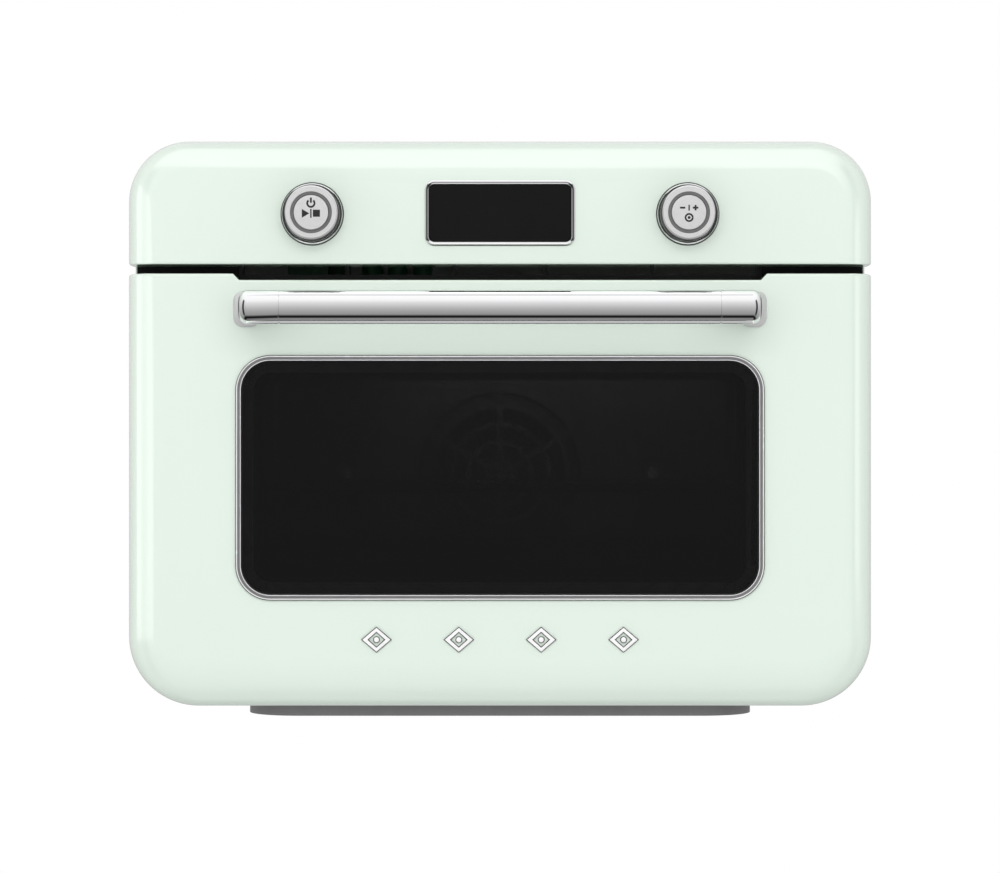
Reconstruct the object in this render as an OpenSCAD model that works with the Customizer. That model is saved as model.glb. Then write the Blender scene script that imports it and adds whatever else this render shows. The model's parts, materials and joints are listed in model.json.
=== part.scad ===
// Countertop convection toaster oven with a drop-down door, in millimetres.
// +Z is up, the door faces -Y, and the origin is on the counter under the middle of the overall box.

/* [Body] */
// Overall width
body_w = 490; // [470:1:510]
// Overall height, from the counter to the top of the control fascia
body_h = 382; // [380:1:392]
// Depth from the door face to the rear bumpers
body_d = 360; // [355:1:400]
// Reach of the handle in front of the door face
handle_reach = 45; // [44:1:48]
// Radius of the two top corners
top_corner = 40; // [36:1:44]
// Radius of the two bottom corners
low_corner = 46; // [42:1:48]
// Radius that rounds the front edges
edge_r = 20; // [18:1:22]
// Depth of the door and of the control fascia
pan_d = 38; // [38:1:42]
// Thickness of the painted panels
sheet = 1.5; // [1.2:0.1:2]
// Height of the door's lower edge above the counter
door_low = 8.5; // [8.5:0.5:10]
// Height of the door's upper edge
door_high = 294.6; // [293:0.1:295.5]
// Height of the gap between door and fascia
vent_gap = 5.5; // [4.5:0.1:6]
// Depth of the step in the door's upper edge, under the vent grille
vent_step = 4.5; // [3:0.1:5]

/* [Window] */
// Outer width of the window trim
trim_w = 346.4; // [330:0.2:350]
// Outer height of the window trim
trim_h = 160.8; // [150:0.2:164]
// Corner radius of the window trim
trim_r = 23; // [20:0.5:26]
// Width of the trim's chrome band
trim_band = 3.7; // [3:0.1:5]
// Height of the window's middle above the counter
window_z = 160.3; // [156:0.1:164]

/* [Handle] */
// Diameter of the handle bar
bar_d = 22; // [20:0.5:24]
// Height of the handle bar's axis
bar_z = 270.5; // [266:0.5:271]
// Distance between the two seams of the bar
bar_len = 284.2; // [270:0.2:296]
// Length of each end cap, from its seam to its rounded end
cap_len = 26.2; // [24:0.2:28]
// Rounding of the end caps' edges
cap_r = 5; // [3:0.5:6]
// Height of the oval collars where the handle meets the door
collar_h = 23.4; // [22.5:0.1:25]
// Width of the oval collars
collar_w = 17; // [15:0.5:18]

/* [Controls] */
// Distance of each control from the middle plane
knob_x = 122.9; // [110:0.1:135]
// Height of the controls and of the display
knob_z = 332.9; // [328:0.1:338]
// Diameter of the fixed base ring
knob_base_d = 41.5; // [40:0.1:44]
// Diameter of the turning ring's face
knob_face_d = 35.8; // [34:0.1:37]
// Reach of the controls in front of the fascia
knob_reach = 16; // [14:0.5:18]
// Diameter of the centre push button
button_d = 22.6; // [21:0.1:23]
// Travel of the push button
button_travel = 1.2; // [0.6:0.1:1.2]
// Width of the display bezel
display_w = 98.3; // [90:0.1:104]
// Height of the display bezel
display_h = 42.9; // [38:0.1:46]

/* [Cavity] */
// Inner width of the oven cavity
cavity_w = 344; // [338:1:346]
// Height of the cavity floor above the counter
cavity_low = 58; // [56:1:60]
// Height of the cavity ceiling above the counter
cavity_high = 268; // [262:1:269]
// Distance of the cavity's rear wall from the door face
cavity_rear = 300; // [298:1:301]
// Height of the wire rack's ledge
rack_ledge = 150; // [146:1:170]
// Height of the baking tray's ledge
tray_ledge = 112; // [110:1:118]
// Diameter of the heater rods
rod_d = 7.2; // [6:0.2:8]

/* [Base] */
// Length of the plinth, side to side
plinth_w = 340; // [320:2:360]
// Distance of the plinth's front from the door face
plinth_setback = 50; // [49:1:56]
// Plan radius of the plinth's corners
plinth_r = 35; // [25:1:45]

/* [Hidden] */
$fn = 72;
gap = 0.3;
front_y = handle_reach - (body_d + handle_reach) / 2;
back_y = (body_d + handle_reach) / 2;

// The cabinet stands a little inside the outline of door and fascia
cab_wall = 1.2;
cab_x = body_w / 2 - 2;
cab_low = 10.5;
cab_high = body_h - 2;
cab_low_r = low_corner - 2;
cab_high_r = top_corner - 2;
cab_y = front_y + pan_d + 1.5;
bumper_t = 5.3;
cover_t = 1.2;
cover_y = back_y - bumper_t - cover_t;
frame_t = 1.5;
base_t = 1;
// Width of the wrap's folded rear edge, which takes the rear cover's screws
rear_fold = 24;
fascia_low = door_high + vent_gap;

// The door turns about the centre of its lower front rounding
hinge_x = 205;
hinge_y = front_y + edge_r;
hinge_z = door_low + edge_r;
trough_r = 28.5;
trough_wall = 1.6;
frame_low = hinge_z + 20;
leaf_t = 2;
lever_t = 3;
pin_r = 3;
eye_r = 7;

door_back = front_y + pan_d;
liner_t = 1;
bar_wall = 2;
glass_t = 4;
inner_glass_t = 3;
bar_y = front_y - handle_reach + bar_d / 2;
cap_x = bar_len / 2 + cap_len;
collar_x = cap_x - 2.4;
post_x = cap_x - 5.8;
post_w = 10.6;
post_h = 19;
pane_w = trim_w - 2 * trim_band;
pane_h = trim_h - 2 * trim_band;
pane_r = trim_r - trim_band;

bore_r = 6.2;
hub_r = 5.8;
stem_r = 2.9;
knob_r = knob_face_d / 2;
board_y = front_y + 16;

wall = 0.8;
cav_x = cavity_w / 2;
cav_y = cab_y + frame_t;
rear_y = front_y + cavity_rear;
fan_z = 160;
fan_cover_d = 24;
rod_y = [front_y + 110, front_y + 230];
rod_z = [82, 256];
bush_r = 7;
lamp_y = front_y + 200;
lamp_z = 226;
shield_z = 283;
vent_slot_w = 3;

wire_r = 1.5;
rim_r = 3;
rack_x = cav_x - 6;
rack_y = [front_y + 56, front_y + 264];

gland_x = -180;
gland_z = 60;

// ---- Shared shapes ----

// An outline drawn in X and Z, given thickness from y0 to y1
module slab(y0, y1) {
    translate([0, y1, 0]) rotate([90, 0, 0]) linear_extrude(y1 - y0) children();
}

// An outline drawn in Y and Z, given thickness from x0 to x1
module side_slab(x0, x1) {
    translate([x0, 0, 0]) rotate([90, 0, 90]) linear_extrude(x1 - x0) children();
}

// A box from its lowest corner to its highest corner
module block(low, high) {
    translate(low) cube(high - low);
}

// A round bar along Y
module bar_y(x, z, r, y0, y1) {
    translate([x, y0, z]) rotate([-90, 0, 0]) cylinder(r = r, h = y1 - y0);
}

// A round bar along X
module bar_x(y, z, r, x0, x1) {
    translate([x0, y, z]) rotate([0, 90, 0]) cylinder(r = r, h = x1 - x0);
}

// Both sides of the middle plane
module both_sides() {
    children();
    mirror([1, 0, 0]) children();
}

// Flat outline centred on X with its own lower and upper corner radii
module round_outline(half_w, low, high, r_low, r_high) {
    translate([-half_w, low + r_low]) square([2 * half_w, high - low - r_low - r_high]);
    translate([r_low - half_w, low]) square([2 * (half_w - r_low), r_low]);
    translate([r_high - half_w, high - r_high]) square([2 * (half_w - r_high), r_high]);
    for (side = [-1, 1]) {
        translate([side * (half_w - r_low), low + r_low]) circle(r_low);
        translate([side * (half_w - r_high), high - r_high]) circle(r_high);
    }
}

// Rounded rectangle by its size and middle height
module round_window(w, h, r, middle) {
    round_outline(w / 2, middle - h / 2, middle + h / 2, r, r);
}

// Cross-section of a pan's rim: x runs outwards, y runs back from the front face
module edge_profile(reach, depth, edge) {
    difference() {
        square([reach, depth]);
        difference() {
            translate([reach - edge, -1]) square([edge + 1, edge + 1]);
            translate([reach - edge, edge]) circle(edge);
        }
    }
}

// Solid pan standing on its square seam edge at z = 0, rounded along its sides and top
module pan_block(width, height, corner, edge, depth) {
    flat_x = width / 2 - corner;
    flat_z = height - corner;
    block([-flat_x, 0, 0], [flat_x, depth, flat_z]);
    translate([flat_x, 0, flat_z]) rotate([0, -90, 0])
        linear_extrude(2 * flat_x) edge_profile(corner, depth, edge);
    both_sides() {
        translate([flat_x, 0, 0]) linear_extrude(flat_z) edge_profile(corner, depth, edge);
        translate([flat_x, 0, flat_z]) mirror([0, 1, 0]) rotate([90, 0, 0])
            rotate_extrude(angle = 90) edge_profile(corner, depth, edge);
    }
}

// The step cut into the door's upper edge, with slanted ends
module vent_step_cut(margin) {
    low = vent_step + margin;
    slab(-1, pan_d + 1)
        polygon([[-175 - margin, -1], [-171 - margin, low], [171 + margin, low], [175 + margin, -1]]);
}

// The door's outer form, hanging down from its upper edge, shrunk all round by inset
module door_form(inset) {
    translate([0, front_y + inset, door_high - inset]) mirror([0, 0, 1]) difference() {
        pan_block(body_w - 2 * inset, door_high - door_low - 2 * inset, low_corner - inset,
            edge_r - inset, pan_d);
        vent_step_cut(inset > 0 ? 0.01 : 0);
    }
}

// Space swept by the door's lower edge, about the hinge axis
module hinge_sweep(r) {
    bar_x(hinge_y, hinge_z, r, -body_w, body_w);
}

// Outline of the cabinet, shrunk all round by inset
module cabinet_outline(inset) {
    round_outline(cab_x - inset, cab_low + inset, cab_high - inset, cab_low_r - inset, cab_high_r - inset);
}

// A row of upright slots with round ends, along X
module slot_row(count, pitch, z0, z1) {
    for (i = [0:count - 1]) translate([(i - (count - 1) / 2) * pitch, 0]) {
        translate([-vent_slot_w / 2, z0]) square([vent_slot_w, z1 - z0]);
        translate([0, z0]) circle(vent_slot_w / 2);
        translate([0, z1]) circle(vent_slot_w / 2);
    }
}

// A row of slots along Y through both side walls
module side_slots(count, pitch, y_middle, z0, z1) {
    side_slab(-body_w, body_w) translate([y_middle, 0]) slot_row(count, pitch, z0, z1);
}

// Round-headed screw along Y, its head towards +Y
module back_screw(x, z, y_seat, r_head, r_shank, length) {
    bar_y(x, z, r_head, y_seat, y_seat + 2);
    bar_y(x, z, r_shank, y_seat - length, y_seat);
}

// ---- Cabinet ----

// An outline of the wrap without the stretch that the base pan closes
module open_bottom() {
    difference() {
        children();
        translate([-cab_x + cab_low_r, 0]) square([2 * (cab_x - cab_low_r), 40]);
    }
}

module cabinet_wrap() {
    color("honeydew") difference() {
        union() {
            slab(cab_y, cover_y) open_bottom() difference() {
                cabinet_outline(0);
                cabinet_outline(cab_wall);
            }
            slab(cover_y - cab_wall, cover_y) open_bottom() difference() {
                cabinet_outline(0);
                cabinet_outline(rear_fold);
            }
        }
        for (spot = cover_screw_spots()) bar_y(spot[0], spot[1], 2, cover_y - 3, cover_y + 1);
        hinge_sweep(trough_r + 0.5);
        side_slots(9, 9, back_y - 70, 300, 330);
        side_slots(9, 9, back_y - 70, 60, 90);
    }
}

module base_pan() {
    half = cab_x - cab_low_r - 0.2;
    color("silver") difference() {
        union() {
            block([-half, front_y + 40, cab_low], [half, cover_y, cab_low + base_t]);
            both_sides() block([half - base_t, front_y + 70, cab_low + base_t], [half, cover_y - 20, cab_low + 9]);
        }
        hinge_sweep(trough_r + trough_wall + 0.3);
        translate([0, 60, cab_low - 1]) for (row = [-2:2]) translate([0, row * 24, 0])
            linear_extrude(5) rotate(90) slot_row(9, 9, -25, 25);
        for (spot = rear_pad_spots()) translate([spot[0], spot[1], cab_low - 1]) cylinder(r = 2.2, h = 4);
    }
}

// Where the four foot pads stand
function rear_pad_spots() = [for (x = [-140, 140], y = [front_y + 82, back_y - 52]) [x, y]];

module rear_cover() {
    color("gainsboro") difference() {
        slab(cover_y, cover_y + cover_t) difference() {
            cabinet_outline(0);
            for (z = [110, 142, 174, 206]) slot_row(21, 9, z - 10, z + 10);
            slot_row(31, 9, 328, 350);
        }
        for (spot = cover_screw_spots()) bar_y(spot[0], spot[1], 2, cover_y - 1, cover_y + 4);
        for (x = [-150, 150]) bar_y(x, 250, 3, cover_y - 1, cover_y + 4);
        bar_y(gland_x, gland_z, 9, cover_y - 1, cover_y + 4);
    }
}

function cover_screw_spots() =
    [[-228, 330], [0, 368], [228, 330], [-228, 190], [228, 190], [-222, 60], [222, 60]];

module rear_cover_screws() {
    color("silver") for (spot = cover_screw_spots())
        back_screw(spot[0], spot[1], cover_y + cover_t, 4, 1.9, 9);
}

module rear_bumpers() {
    color("dimgray") for (x = [-150, 150]) {
        bar_y(x, 250, 10, cover_y + cover_t, back_y);
        bar_y(x, 250, 2.9, cover_y - 3, cover_y + cover_t);
    }
}

// Dark frame behind door and fascia, with the cavity mouth, the grille's slot and a wiring opening
module front_frame() {
    color("black") difference() {
        slab(cab_y, cab_y + frame_t) difference() {
            cabinet_outline(cab_wall + 0.2);
            translate([-body_w, 0]) square([2 * body_w, frame_low]);
            round_outline(cav_x, cavity_low, cavity_high, 8, 8);
            translate([-174.3, 291]) square([348.6, 12.4]);
            translate([-190, 313]) square([380, 50]);
        }
        both_sides() block([hinge_x - 2, cab_y - 1, frame_low + 0.5], [hinge_x + 2, cab_y + 3, frame_low + 22]);
    }
}

// Curved wall that gives the door's lower edge room to swing
module hinge_trough() {
    color("dimgray") intersection() {
        side_slab(-cab_x, cab_x) translate([hinge_y, hinge_z]) difference() {
            circle(trough_r + trough_wall);
            circle(trough_r);
            translate([-60, -60]) square([60 + 20.4, 120]);
            translate([-60, 19.6]) square([120, 60]);
            translate([-60, -60]) square([120, 60 - hinge_z + cab_low]);
        }
        slab(front_y, back_y) cabinet_outline(cab_wall + 0.2);
    }
}

module plinth_plan(inset) {
    half_d = (back_y - 30 - front_y - plinth_setback) / 2;
    translate([0, front_y + plinth_setback + half_d])
        round_outline(plinth_w / 2 - inset, inset - half_d, half_d - inset, plinth_r - inset, plinth_r - inset);
}

module plinth() {
    color("dimgray") difference() {
        translate([0, 0, 1]) linear_extrude(cab_low - 1) plinth_plan(0);
        translate([0, 0, 0]) linear_extrude(cab_low - 2.5) difference() {
            plinth_plan(3);
            for (spot = rear_pad_spots()) translate(spot) circle(20);
        }
        for (spot = rear_pad_spots()) translate([spot[0], spot[1], 0]) {
            cylinder(r = 15.2, h = 3.2);
            cylinder(r = 2.2, h = 20);
        }
    }
}

module foot_pads() {
    color("black") for (spot = rear_pad_spots()) translate([spot[0], spot[1], 0]) {
        cylinder(r = 15, h = 3);
        cylinder(r = 2, h = 11.5);
    }
}

// Louvre strip seen through the gap between door and fascia
module vent_grille() {
    bars = [-101.6, -30.5, 30.5, 101.6];
    color("black") difference() {
        block([-174, cab_y - 1.5, 291.2], [174, cab_y + 12, 303.2]);
        for (i = [0:4]) {
            left = i == 0 ? -171 : bars[i - 1] + 1.2;
            right = i == 4 ? 171 : bars[i] - 1.2;
            block([left, cab_y - 3, 295], [right, cab_y + 14, 301.2]);
        }
    }
}

// ---- Control fascia ----

module control_fascia() {
    color("honeydew") difference() {
        translate([0, front_y, fascia_low])
            pan_block(body_w, body_h - fascia_low, top_corner, edge_r, pan_d);
        translate([0, front_y + sheet, fascia_low + sheet])
            pan_block(body_w - 2 * sheet, body_h - fascia_low - 2 * sheet, top_corner - sheet,
                edge_r - sheet, pan_d);
        both_sides() bar_y(knob_x, knob_z, bore_r, front_y - 1, front_y + 4);
        slab(front_y - 1, front_y + 4) round_window(display_w - 6, display_h - 6, 3, knob_z + 0.6);
    }
}

module display_bezel() {
    color("silver") slab(front_y - 1.8, front_y) difference() {
        round_window(display_w, display_h, 6.2, knob_z + 0.6);
        round_window(display_w - 4.7, display_h - 4.7, 4, knob_z + 0.6);
    }
}

module display_glass() {
    color("black") {
        slab(front_y - 1.2, front_y) round_window(display_w - 5, display_h - 5, 3.8, knob_z + 0.6);
        slab(front_y, front_y + 2.5) round_window(display_w - 6.6, display_h - 6.6, 2.7, knob_z + 0.6);
    }
}

module display_module() {
    color("darkslategray") {
        block([-44, front_y + 4, knob_z - 16], [44, front_y + 11, knob_z + 17]);
        for (x = [-38, 38], z = [knob_z - 11, knob_z + 12])
            bar_y(x, z, 2, front_y + 11, board_y);
    }
}

module control_board() {
    color("darkgreen") {
        block([-160, board_y, 308], [160, board_y + 1.6, 358]);
        block([-90, board_y + 1.6, 315], [-66, board_y + 4.5, 339]);
        for (x = [30, 48, 66]) bar_y(x, 325, 5, board_y + 1.6, board_y + 12);
        block([-30, board_y + 1.6, 345], [20, board_y + 9, 353]);
    }
}

module encoders() {
    color("slategray") both_sides() difference() {
        union() {
            block([knob_x - 8, front_y + 10.4, knob_z - 8], [knob_x + 8, board_y, knob_z + 8]);
            bar_y(knob_x, knob_z, 7.6, front_y + 8.4, front_y + 10.4);
        }
        bar_y(knob_x, knob_z, 4.5, front_y + 8, front_y + 10.4);
    }
}

module knob_bases() {
    color("silver") both_sides() translate([knob_x, front_y, knob_z]) rotate([90, 0, 0])
        rotate_extrude() polygon([[18.9, 0], [knob_base_d / 2, 0], [knob_base_d / 2, 2.2],
            [knob_base_d / 2 - 0.8, 3], [18.9, 3]]);
}

// Turning ring with its hub, open in the middle for the push button
module knob_ring(x) {
    face = knob_reach;
    pocket = button_d / 2 + 0.3;
    color("silver") translate([x, front_y, knob_z]) rotate([90, 0, 0]) rotate_extrude() polygon([
        [3.2, -8], [hub_r, -8], [hub_r, 5], [knob_r, 5], [knob_r, 0.6], [knob_r + 0.6, 0.6],
        [knob_r + 0.6, 4], [knob_r + 0.3, face - 1.2], [knob_r - 0.9, face], [13.6, face],
        [13.6, face - 0.8], [pocket, face - 0.8], [pocket, face - 6], [3.2, face - 6]
    ]);
}

module left_knob_ring() { knob_ring(-knob_x); }
module right_knob_ring() { knob_ring(knob_x); }

module push_button(x) {
    face = knob_reach;
    r = button_d / 2;
    color("gainsboro") translate([x, front_y, knob_z]) rotate([90, 0, 0]) rotate_extrude() polygon([
        [0, -8.8], [stem_r, -8.8], [stem_r, face - 3.6], [r, face - 3.6], [r, face - 0.4],
        [r - 0.4, face], [0, face]
    ]);
}

module left_button() { push_button(-knob_x); }
module right_button() { push_button(knob_x); }

// ---- Electrics ----

module heat_shield() {
    color("silver") difference() {
        union() {
            block([-232, cav_y + 6, shield_z], [232, cover_y - 4, shield_z + 1]);
            both_sides() block([231, cav_y + 6, shield_z + 1], [232, cover_y - 4, shield_z + 8]);
        }
        translate([120, 60, shield_z - 1]) linear_extrude(4) slot_row(9, 9, -40, 40);
    }
}

module power_board() {
    low = shield_z + 1;
    color("darkgreen") {
        for (x = [-150, -40], y = [-20, 80]) translate([x, y, low]) cylinder(r = 3, h = 5);
        block([-156, -26, low + 5], [-34, 86, low + 6.6]);
        block([-150, 30, low + 6.6], [-108, 74, low + 40]);
        for (y = [-14, 8]) block([-148, y, low + 6.6], [-120, y + 18, low + 22]);
        for (x = [-90, -72, -54]) translate([x, 0, low + 6.6]) cylinder(r = 7, h = 24);
        for (i = [0:5]) block([-95 + i * 9, 34, low + 8], [-93 + i * 9, 74, low + 34]);
        block([-97, 34, low + 6.6], [-46, 74, low + 8.2]);
    }
}

module terminal_block() {
    color("ivory") difference() {
        block([-186, 140, cab_low + base_t], [-140, 160, cab_low + 18]);
        for (x = [-178, -163, -148]) translate([x, 150, cab_low + 6]) cylinder(r = 2.6, h = 20);
    }
}

// Strain relief with the bore that a mains lead passes through
module cord_gland() {
    color("dimgray") difference() {
        union() {
            bar_y(gland_x, gland_z, 13, cover_y + cover_t, back_y);
            bar_y(gland_x, gland_z, 8.8, cover_y - 6, cover_y + cover_t);
            bar_y(gland_x, gland_z, 12, cover_y - 6, cover_y - 0.2);
        }
        bar_y(gland_x, gland_z, 3.6, cover_y - 8, back_y + 1);
    }
}

// ---- Cavity ----

module heater_holes(r) {
    for (y = rod_y, z = rod_z) bar_x(y, z, r, -cav_x - 20, cav_x + 20);
}

module cavity_liner() {
    outer = cav_x + wall;
    color("gray") difference() {
        block([-outer, cav_y, cavity_low - wall], [outer, rear_y + wall, cavity_high + wall]);
        block([-cav_x, cav_y - 1, cavity_low], [cav_x, rear_y, cavity_high]);
        heater_holes(bush_r + 0.1);
        bar_x(lamp_y, lamp_z, 18.3, cav_x - 2, cav_x + 3);
        bar_y(0, fan_z, 9, rear_y - 1, rear_y + 3);
        bar_y(120, 250, 2.6, rear_y - 1, rear_y + 3);
        for (x = [-113.5, 113.5]) bar_y(x, fan_z, 1.7, rear_y - 1, rear_y + 3);
        for (z = [fan_z - 62, fan_z + 62]) bar_y(0, z, 3.4, rear_y - 1, rear_y + 3);
    }
}

module cavity_insulation() {
    inner = cav_x + wall + 0.3;
    outer = inner + 9;
    ceiling = cavity_high + wall + 0.3;
    color("khaki") difference() {
        union() {
            block([-outer, cav_y + 20, ceiling], [outer, rear_y - 8, ceiling + 10]);
            both_sides() block([inner, cav_y + 20, 66], [outer, rear_y - 8, ceiling]);
        }
        heater_holes(9);
        bar_x(lamp_y, lamp_z, 20, cav_x, cav_x + 30);
        translate([60, 40, ceiling - 1]) cylinder(r = 16, h = 20);
    }
}

// Ladder of three ledges on each side wall
module rack_supports() {
    color("silver") both_sides() {
        block([cav_x - 1.2, cav_y + 12, 96], [cav_x - 0.2, rear_y - 30, 200]);
        for (z = [tray_ledge, rack_ledge, 190])
            block([cav_x - 9, cav_y + 12, z - 1.2], [cav_x - 1.2, rear_y - 30, z]);
    }
}

module heater_rods() {
    reach = cav_x + 11;
    color("rosybrown") for (y = rod_y, z = rod_z) bar_x(y, z, rod_d / 2, -reach, reach);
}

module heater_bushes() {
    color("white") both_sides() for (y = rod_y, z = rod_z) difference() {
        union() {
            bar_x(y, z, bush_r, cav_x - 0.1, cav_x + 10);
            bar_x(y, z, bush_r + 1.5, cav_x - 3, cav_x - 0.1);
        }
        bar_x(y, z, rod_d / 2 + 0.1, cav_x - 4, cav_x + 12);
    }
}

// Ring element around the convection fan, with its two terminals through the rear wall
module ring_heater() {
    ring_y = rear_y - 10;
    color("rosybrown") {
        translate([0, ring_y, fan_z]) rotate([90, 0, 0]) rotate_extrude() translate([62, 0]) circle(3.2);
        for (z = [fan_z - 62, fan_z + 62]) bar_y(0, z, 2.4, ring_y, rear_y + 14);
    }
}

module stadium(w, h) {
    round_outline(w / 2, fan_z - h / 2, fan_z + h / 2, h / 2 - 0.01, h / 2 - 0.01);
}

// Domed cover over the convection fan, with rings of slots
module fan_cover() {
    step_y = rear_y - fan_cover_d + 6;
    face_y = rear_y - fan_cover_d;
    skin = 1;
    color("gray") difference() {
        union() {
            slab(step_y, rear_y) stadium(212, 181);
            slab(face_y, step_y) stadium(189, 144);
            both_sides() bar_y(113.5, fan_z, 9, rear_y - skin, rear_y);
            both_sides() block([100, rear_y - skin, fan_z - 9], [113.5, rear_y, fan_z + 9]);
        }
        slab(step_y + skin, rear_y + 1) stadium(212 - 2 * skin, 181 - 2 * skin);
        slab(face_y + skin, step_y + skin) stadium(189 - 2 * skin, 144 - 2 * skin);
        for (x = [-113.5, 113.5]) bar_y(x, fan_z, 2, rear_y - 3, rear_y + 1);
        slab(face_y - 1, face_y + skin + 1) translate([0, fan_z]) difference() {
            for (ring = [[12, 21], [25, 34], [38, 48], [52, 60]]) difference() {
                circle(ring[1]);
                circle(ring[0]);
            }
            for (turn = [0:2]) rotate(60 * turn + 30) square([130, 4.5], center = true);
        }
    }
}

module fan_cover_screws() {
    color("silver") for (x = [-113.5, 113.5]) {
        bar_y(x, fan_z, 4.5, rear_y - 3.2, rear_y - 1);
        bar_y(x, fan_z, 1.6, rear_y - 1, rear_y + 6);
    }
}

module motor_shaft() {
    color("silver") bar_y(0, fan_z, 4, rear_y - 18, cover_y - 5);
}

// Radial impeller: hub, back disc and blades, with its blades on the -Y side
module impeller(y0, y1, r, count) {
    bar_y(0, fan_z, 9, y0, y1);
    bar_y(0, fan_z, r, y1 - 1, y1);
    for (i = [0:count - 1]) translate([0, 0, fan_z]) rotate([0, i * 360 / count, 0])
        block([8, y0, -0.6], [r - 1, y1 - 1, 0.6]);
}

module convection_fan() {
    color("silver") difference() {
        impeller(rear_y - 17, rear_y - 4, 50, 8);
        bar_y(0, fan_z, 4, rear_y - 18, rear_y);
    }
}

module cooling_fan() {
    color("dimgray") difference() {
        impeller(cover_y - 16, cover_y - 5.5, 44, 6);
        bar_y(0, fan_z, 4, cover_y - 18, cover_y);
    }
}

module motor_bracket() {
    plate_y = rear_y + wall + 4;
    color("silver") difference() {
        union() {
            block([-42, plate_y, fan_z - 42], [42, plate_y + 1.5, fan_z + 42]);
            for (x = [-36, 36], z = [fan_z - 36, fan_z + 36]) bar_y(x, z, 4, rear_y + wall, plate_y);
        }
        bar_y(0, fan_z, 10, plate_y - 1, plate_y + 3);
    }
}

module fan_motor() {
    low = rear_y + wall + 5.5;
    color("slategray") difference() {
        union() {
            bar_y(0, fan_z, 28, low, low + 20);
            bar_y(0, fan_z, 12, low + 20, low + 24);
        }
        bar_y(0, fan_z, 4.3, low - 1, low + 26);
    }
}

module lamp_lens() {
    color("lightblue", 0.5) {
        bar_x(lamp_y, lamp_z, 18, cav_x - 0.2, cav_x + 2);
        bar_x(lamp_y, lamp_z, 21, cav_x - 3, cav_x - 0.2);
    }
}

module oven_lamp() {
    color("white") {
        bar_x(lamp_y, lamp_z, 6, cav_x + 4, cav_x + 16);
        bar_x(lamp_y, lamp_z, 17, cav_x + 16, cav_x + 34);
        difference() {
            bar_x(lamp_y, lamp_z, 19.5, cav_x + wall + 0.4, cav_x + 16);
            bar_x(lamp_y, lamp_z, 18, cav_x, cav_x + 17);
        }
    }
}

module temperature_probe() {
    color("silver") {
        bar_y(120, 250, 2.4, rear_y - 45, rear_y + 12);
        bar_y(120, 250, 5, rear_y + wall + 0.1, rear_y + 5);
    }
}

module thermal_cutout() {
    top = cavity_high + wall;
    color("ivory") translate([60, 40, top]) {
        cylinder(r = 12, h = 1.5);
        cylinder(r = 9, h = 9);
    }
}

// Soft seal round the cavity mouth
module door_gasket() {
    color("dimgray") slab(cab_y - 1.2, cab_y) difference() {
        round_outline(cav_x + 6, cavity_low - 6, cavity_high + 6, 14, 14);
        round_outline(cav_x, cavity_low, cavity_high, 8, 8);
    }
}

// ---- Racks and trays ----

// Rounded loop of wire in plan, for the wire rack's rim
module wire_loop(half_x, y0, y1, r_bend, r_wire) {
    for (side = [-1, 1])
        translate([side * half_x, y0 + r_bend, 0]) rotate([-90, 0, 0]) cylinder(r = r_wire, h = y1 - y0 - 2 * r_bend);
    for (y = [y0, y1]) bar_x(y, 0, r_wire, r_bend - half_x, half_x - r_bend);
    for (corner = [[1, 1, 0], [-1, 1, 90], [-1, -1, 180], [1, -1, 270]])
        translate([corner[0] * (half_x - r_bend), corner[1] > 0 ? y1 - r_bend : y0 + r_bend, 0])
            rotate(corner[2]) rotate_extrude(angle = 90) translate([r_bend, 0]) circle(r_wire);
}

module wire_rack() {
    count = 15;
    pitch = 2 * (rack_x - 3) / (count + 1);
    color("silver") translate([0, 0, rack_ledge + rim_r + 0.3]) {
        wire_loop(rack_x - 3, rack_y[0], rack_y[1], 14, rim_r);
        for (i = [1:count]) translate([i * pitch - rack_x + 3, rack_y[0], 0.6])
            rotate([-90, 0, 0]) cylinder(r = wire_r, h = rack_y[1] - rack_y[0]);
        for (y = [rack_y[0] + 70, rack_y[1] - 70]) bar_x(y, -1.2, 2, 3 - rack_x, rack_x - 3);
    }
}

// Open tray standing at z = 0, with a flat rim
module tray_shell(half_x, y0, y1, depth, r, rim, skin) {
    middle = (y0 + y1) / 2;
    half_y = (y1 - y0) / 2;
    translate([0, middle, 0]) difference() {
        union() {
            linear_extrude(depth) round_outline(half_x, -half_y, half_y, r, r);
            translate([0, 0, depth - skin])
                linear_extrude(skin) round_outline(half_x + rim, -half_y - rim, half_y + rim, r + rim, r + rim);
        }
        translate([0, 0, skin]) linear_extrude(depth)
            round_outline(half_x - skin, skin - half_y, half_y - skin, r - skin, r - skin);
    }
}

module baking_tray() {
    color("dimgray") translate([0, 0, tray_ledge + 1.5 - 20])
        tray_shell(cav_x - 11, front_y + 62, front_y + 258, 20, 16, 5, 1.2);
}

module crumb_tray() {
    color("silver") translate([0, 0, cavity_low + 0.6])
        tray_shell(cav_x - 12, front_y + 52, front_y + 268, 9, 8, 3, 0.9);
}

// ---- Door ----

module door_panel() {
    color("honeydew") difference() {
        door_form(0);
        door_form(sheet);
        slab(front_y - 1, front_y + 4) round_window(pane_w - 1, pane_h - 1, pane_r - 0.5, window_z);
        both_sides() bar_y(post_x, bar_z, 2.3, front_y - 1, front_y + 4);
    }
}

module window_trim() {
    color("silver") slab(front_y - 2.4, front_y) difference() {
        round_window(trim_w, trim_h, trim_r, window_z);
        round_window(pane_w, pane_h, pane_r, window_z);
    }
}

module outer_glass() {
    color("black") slab(front_y - 0.6, front_y - 0.6 + glass_t)
        round_window(pane_w - 1.6, pane_h - 1.6, pane_r - 0.8, window_z);
}

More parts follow.
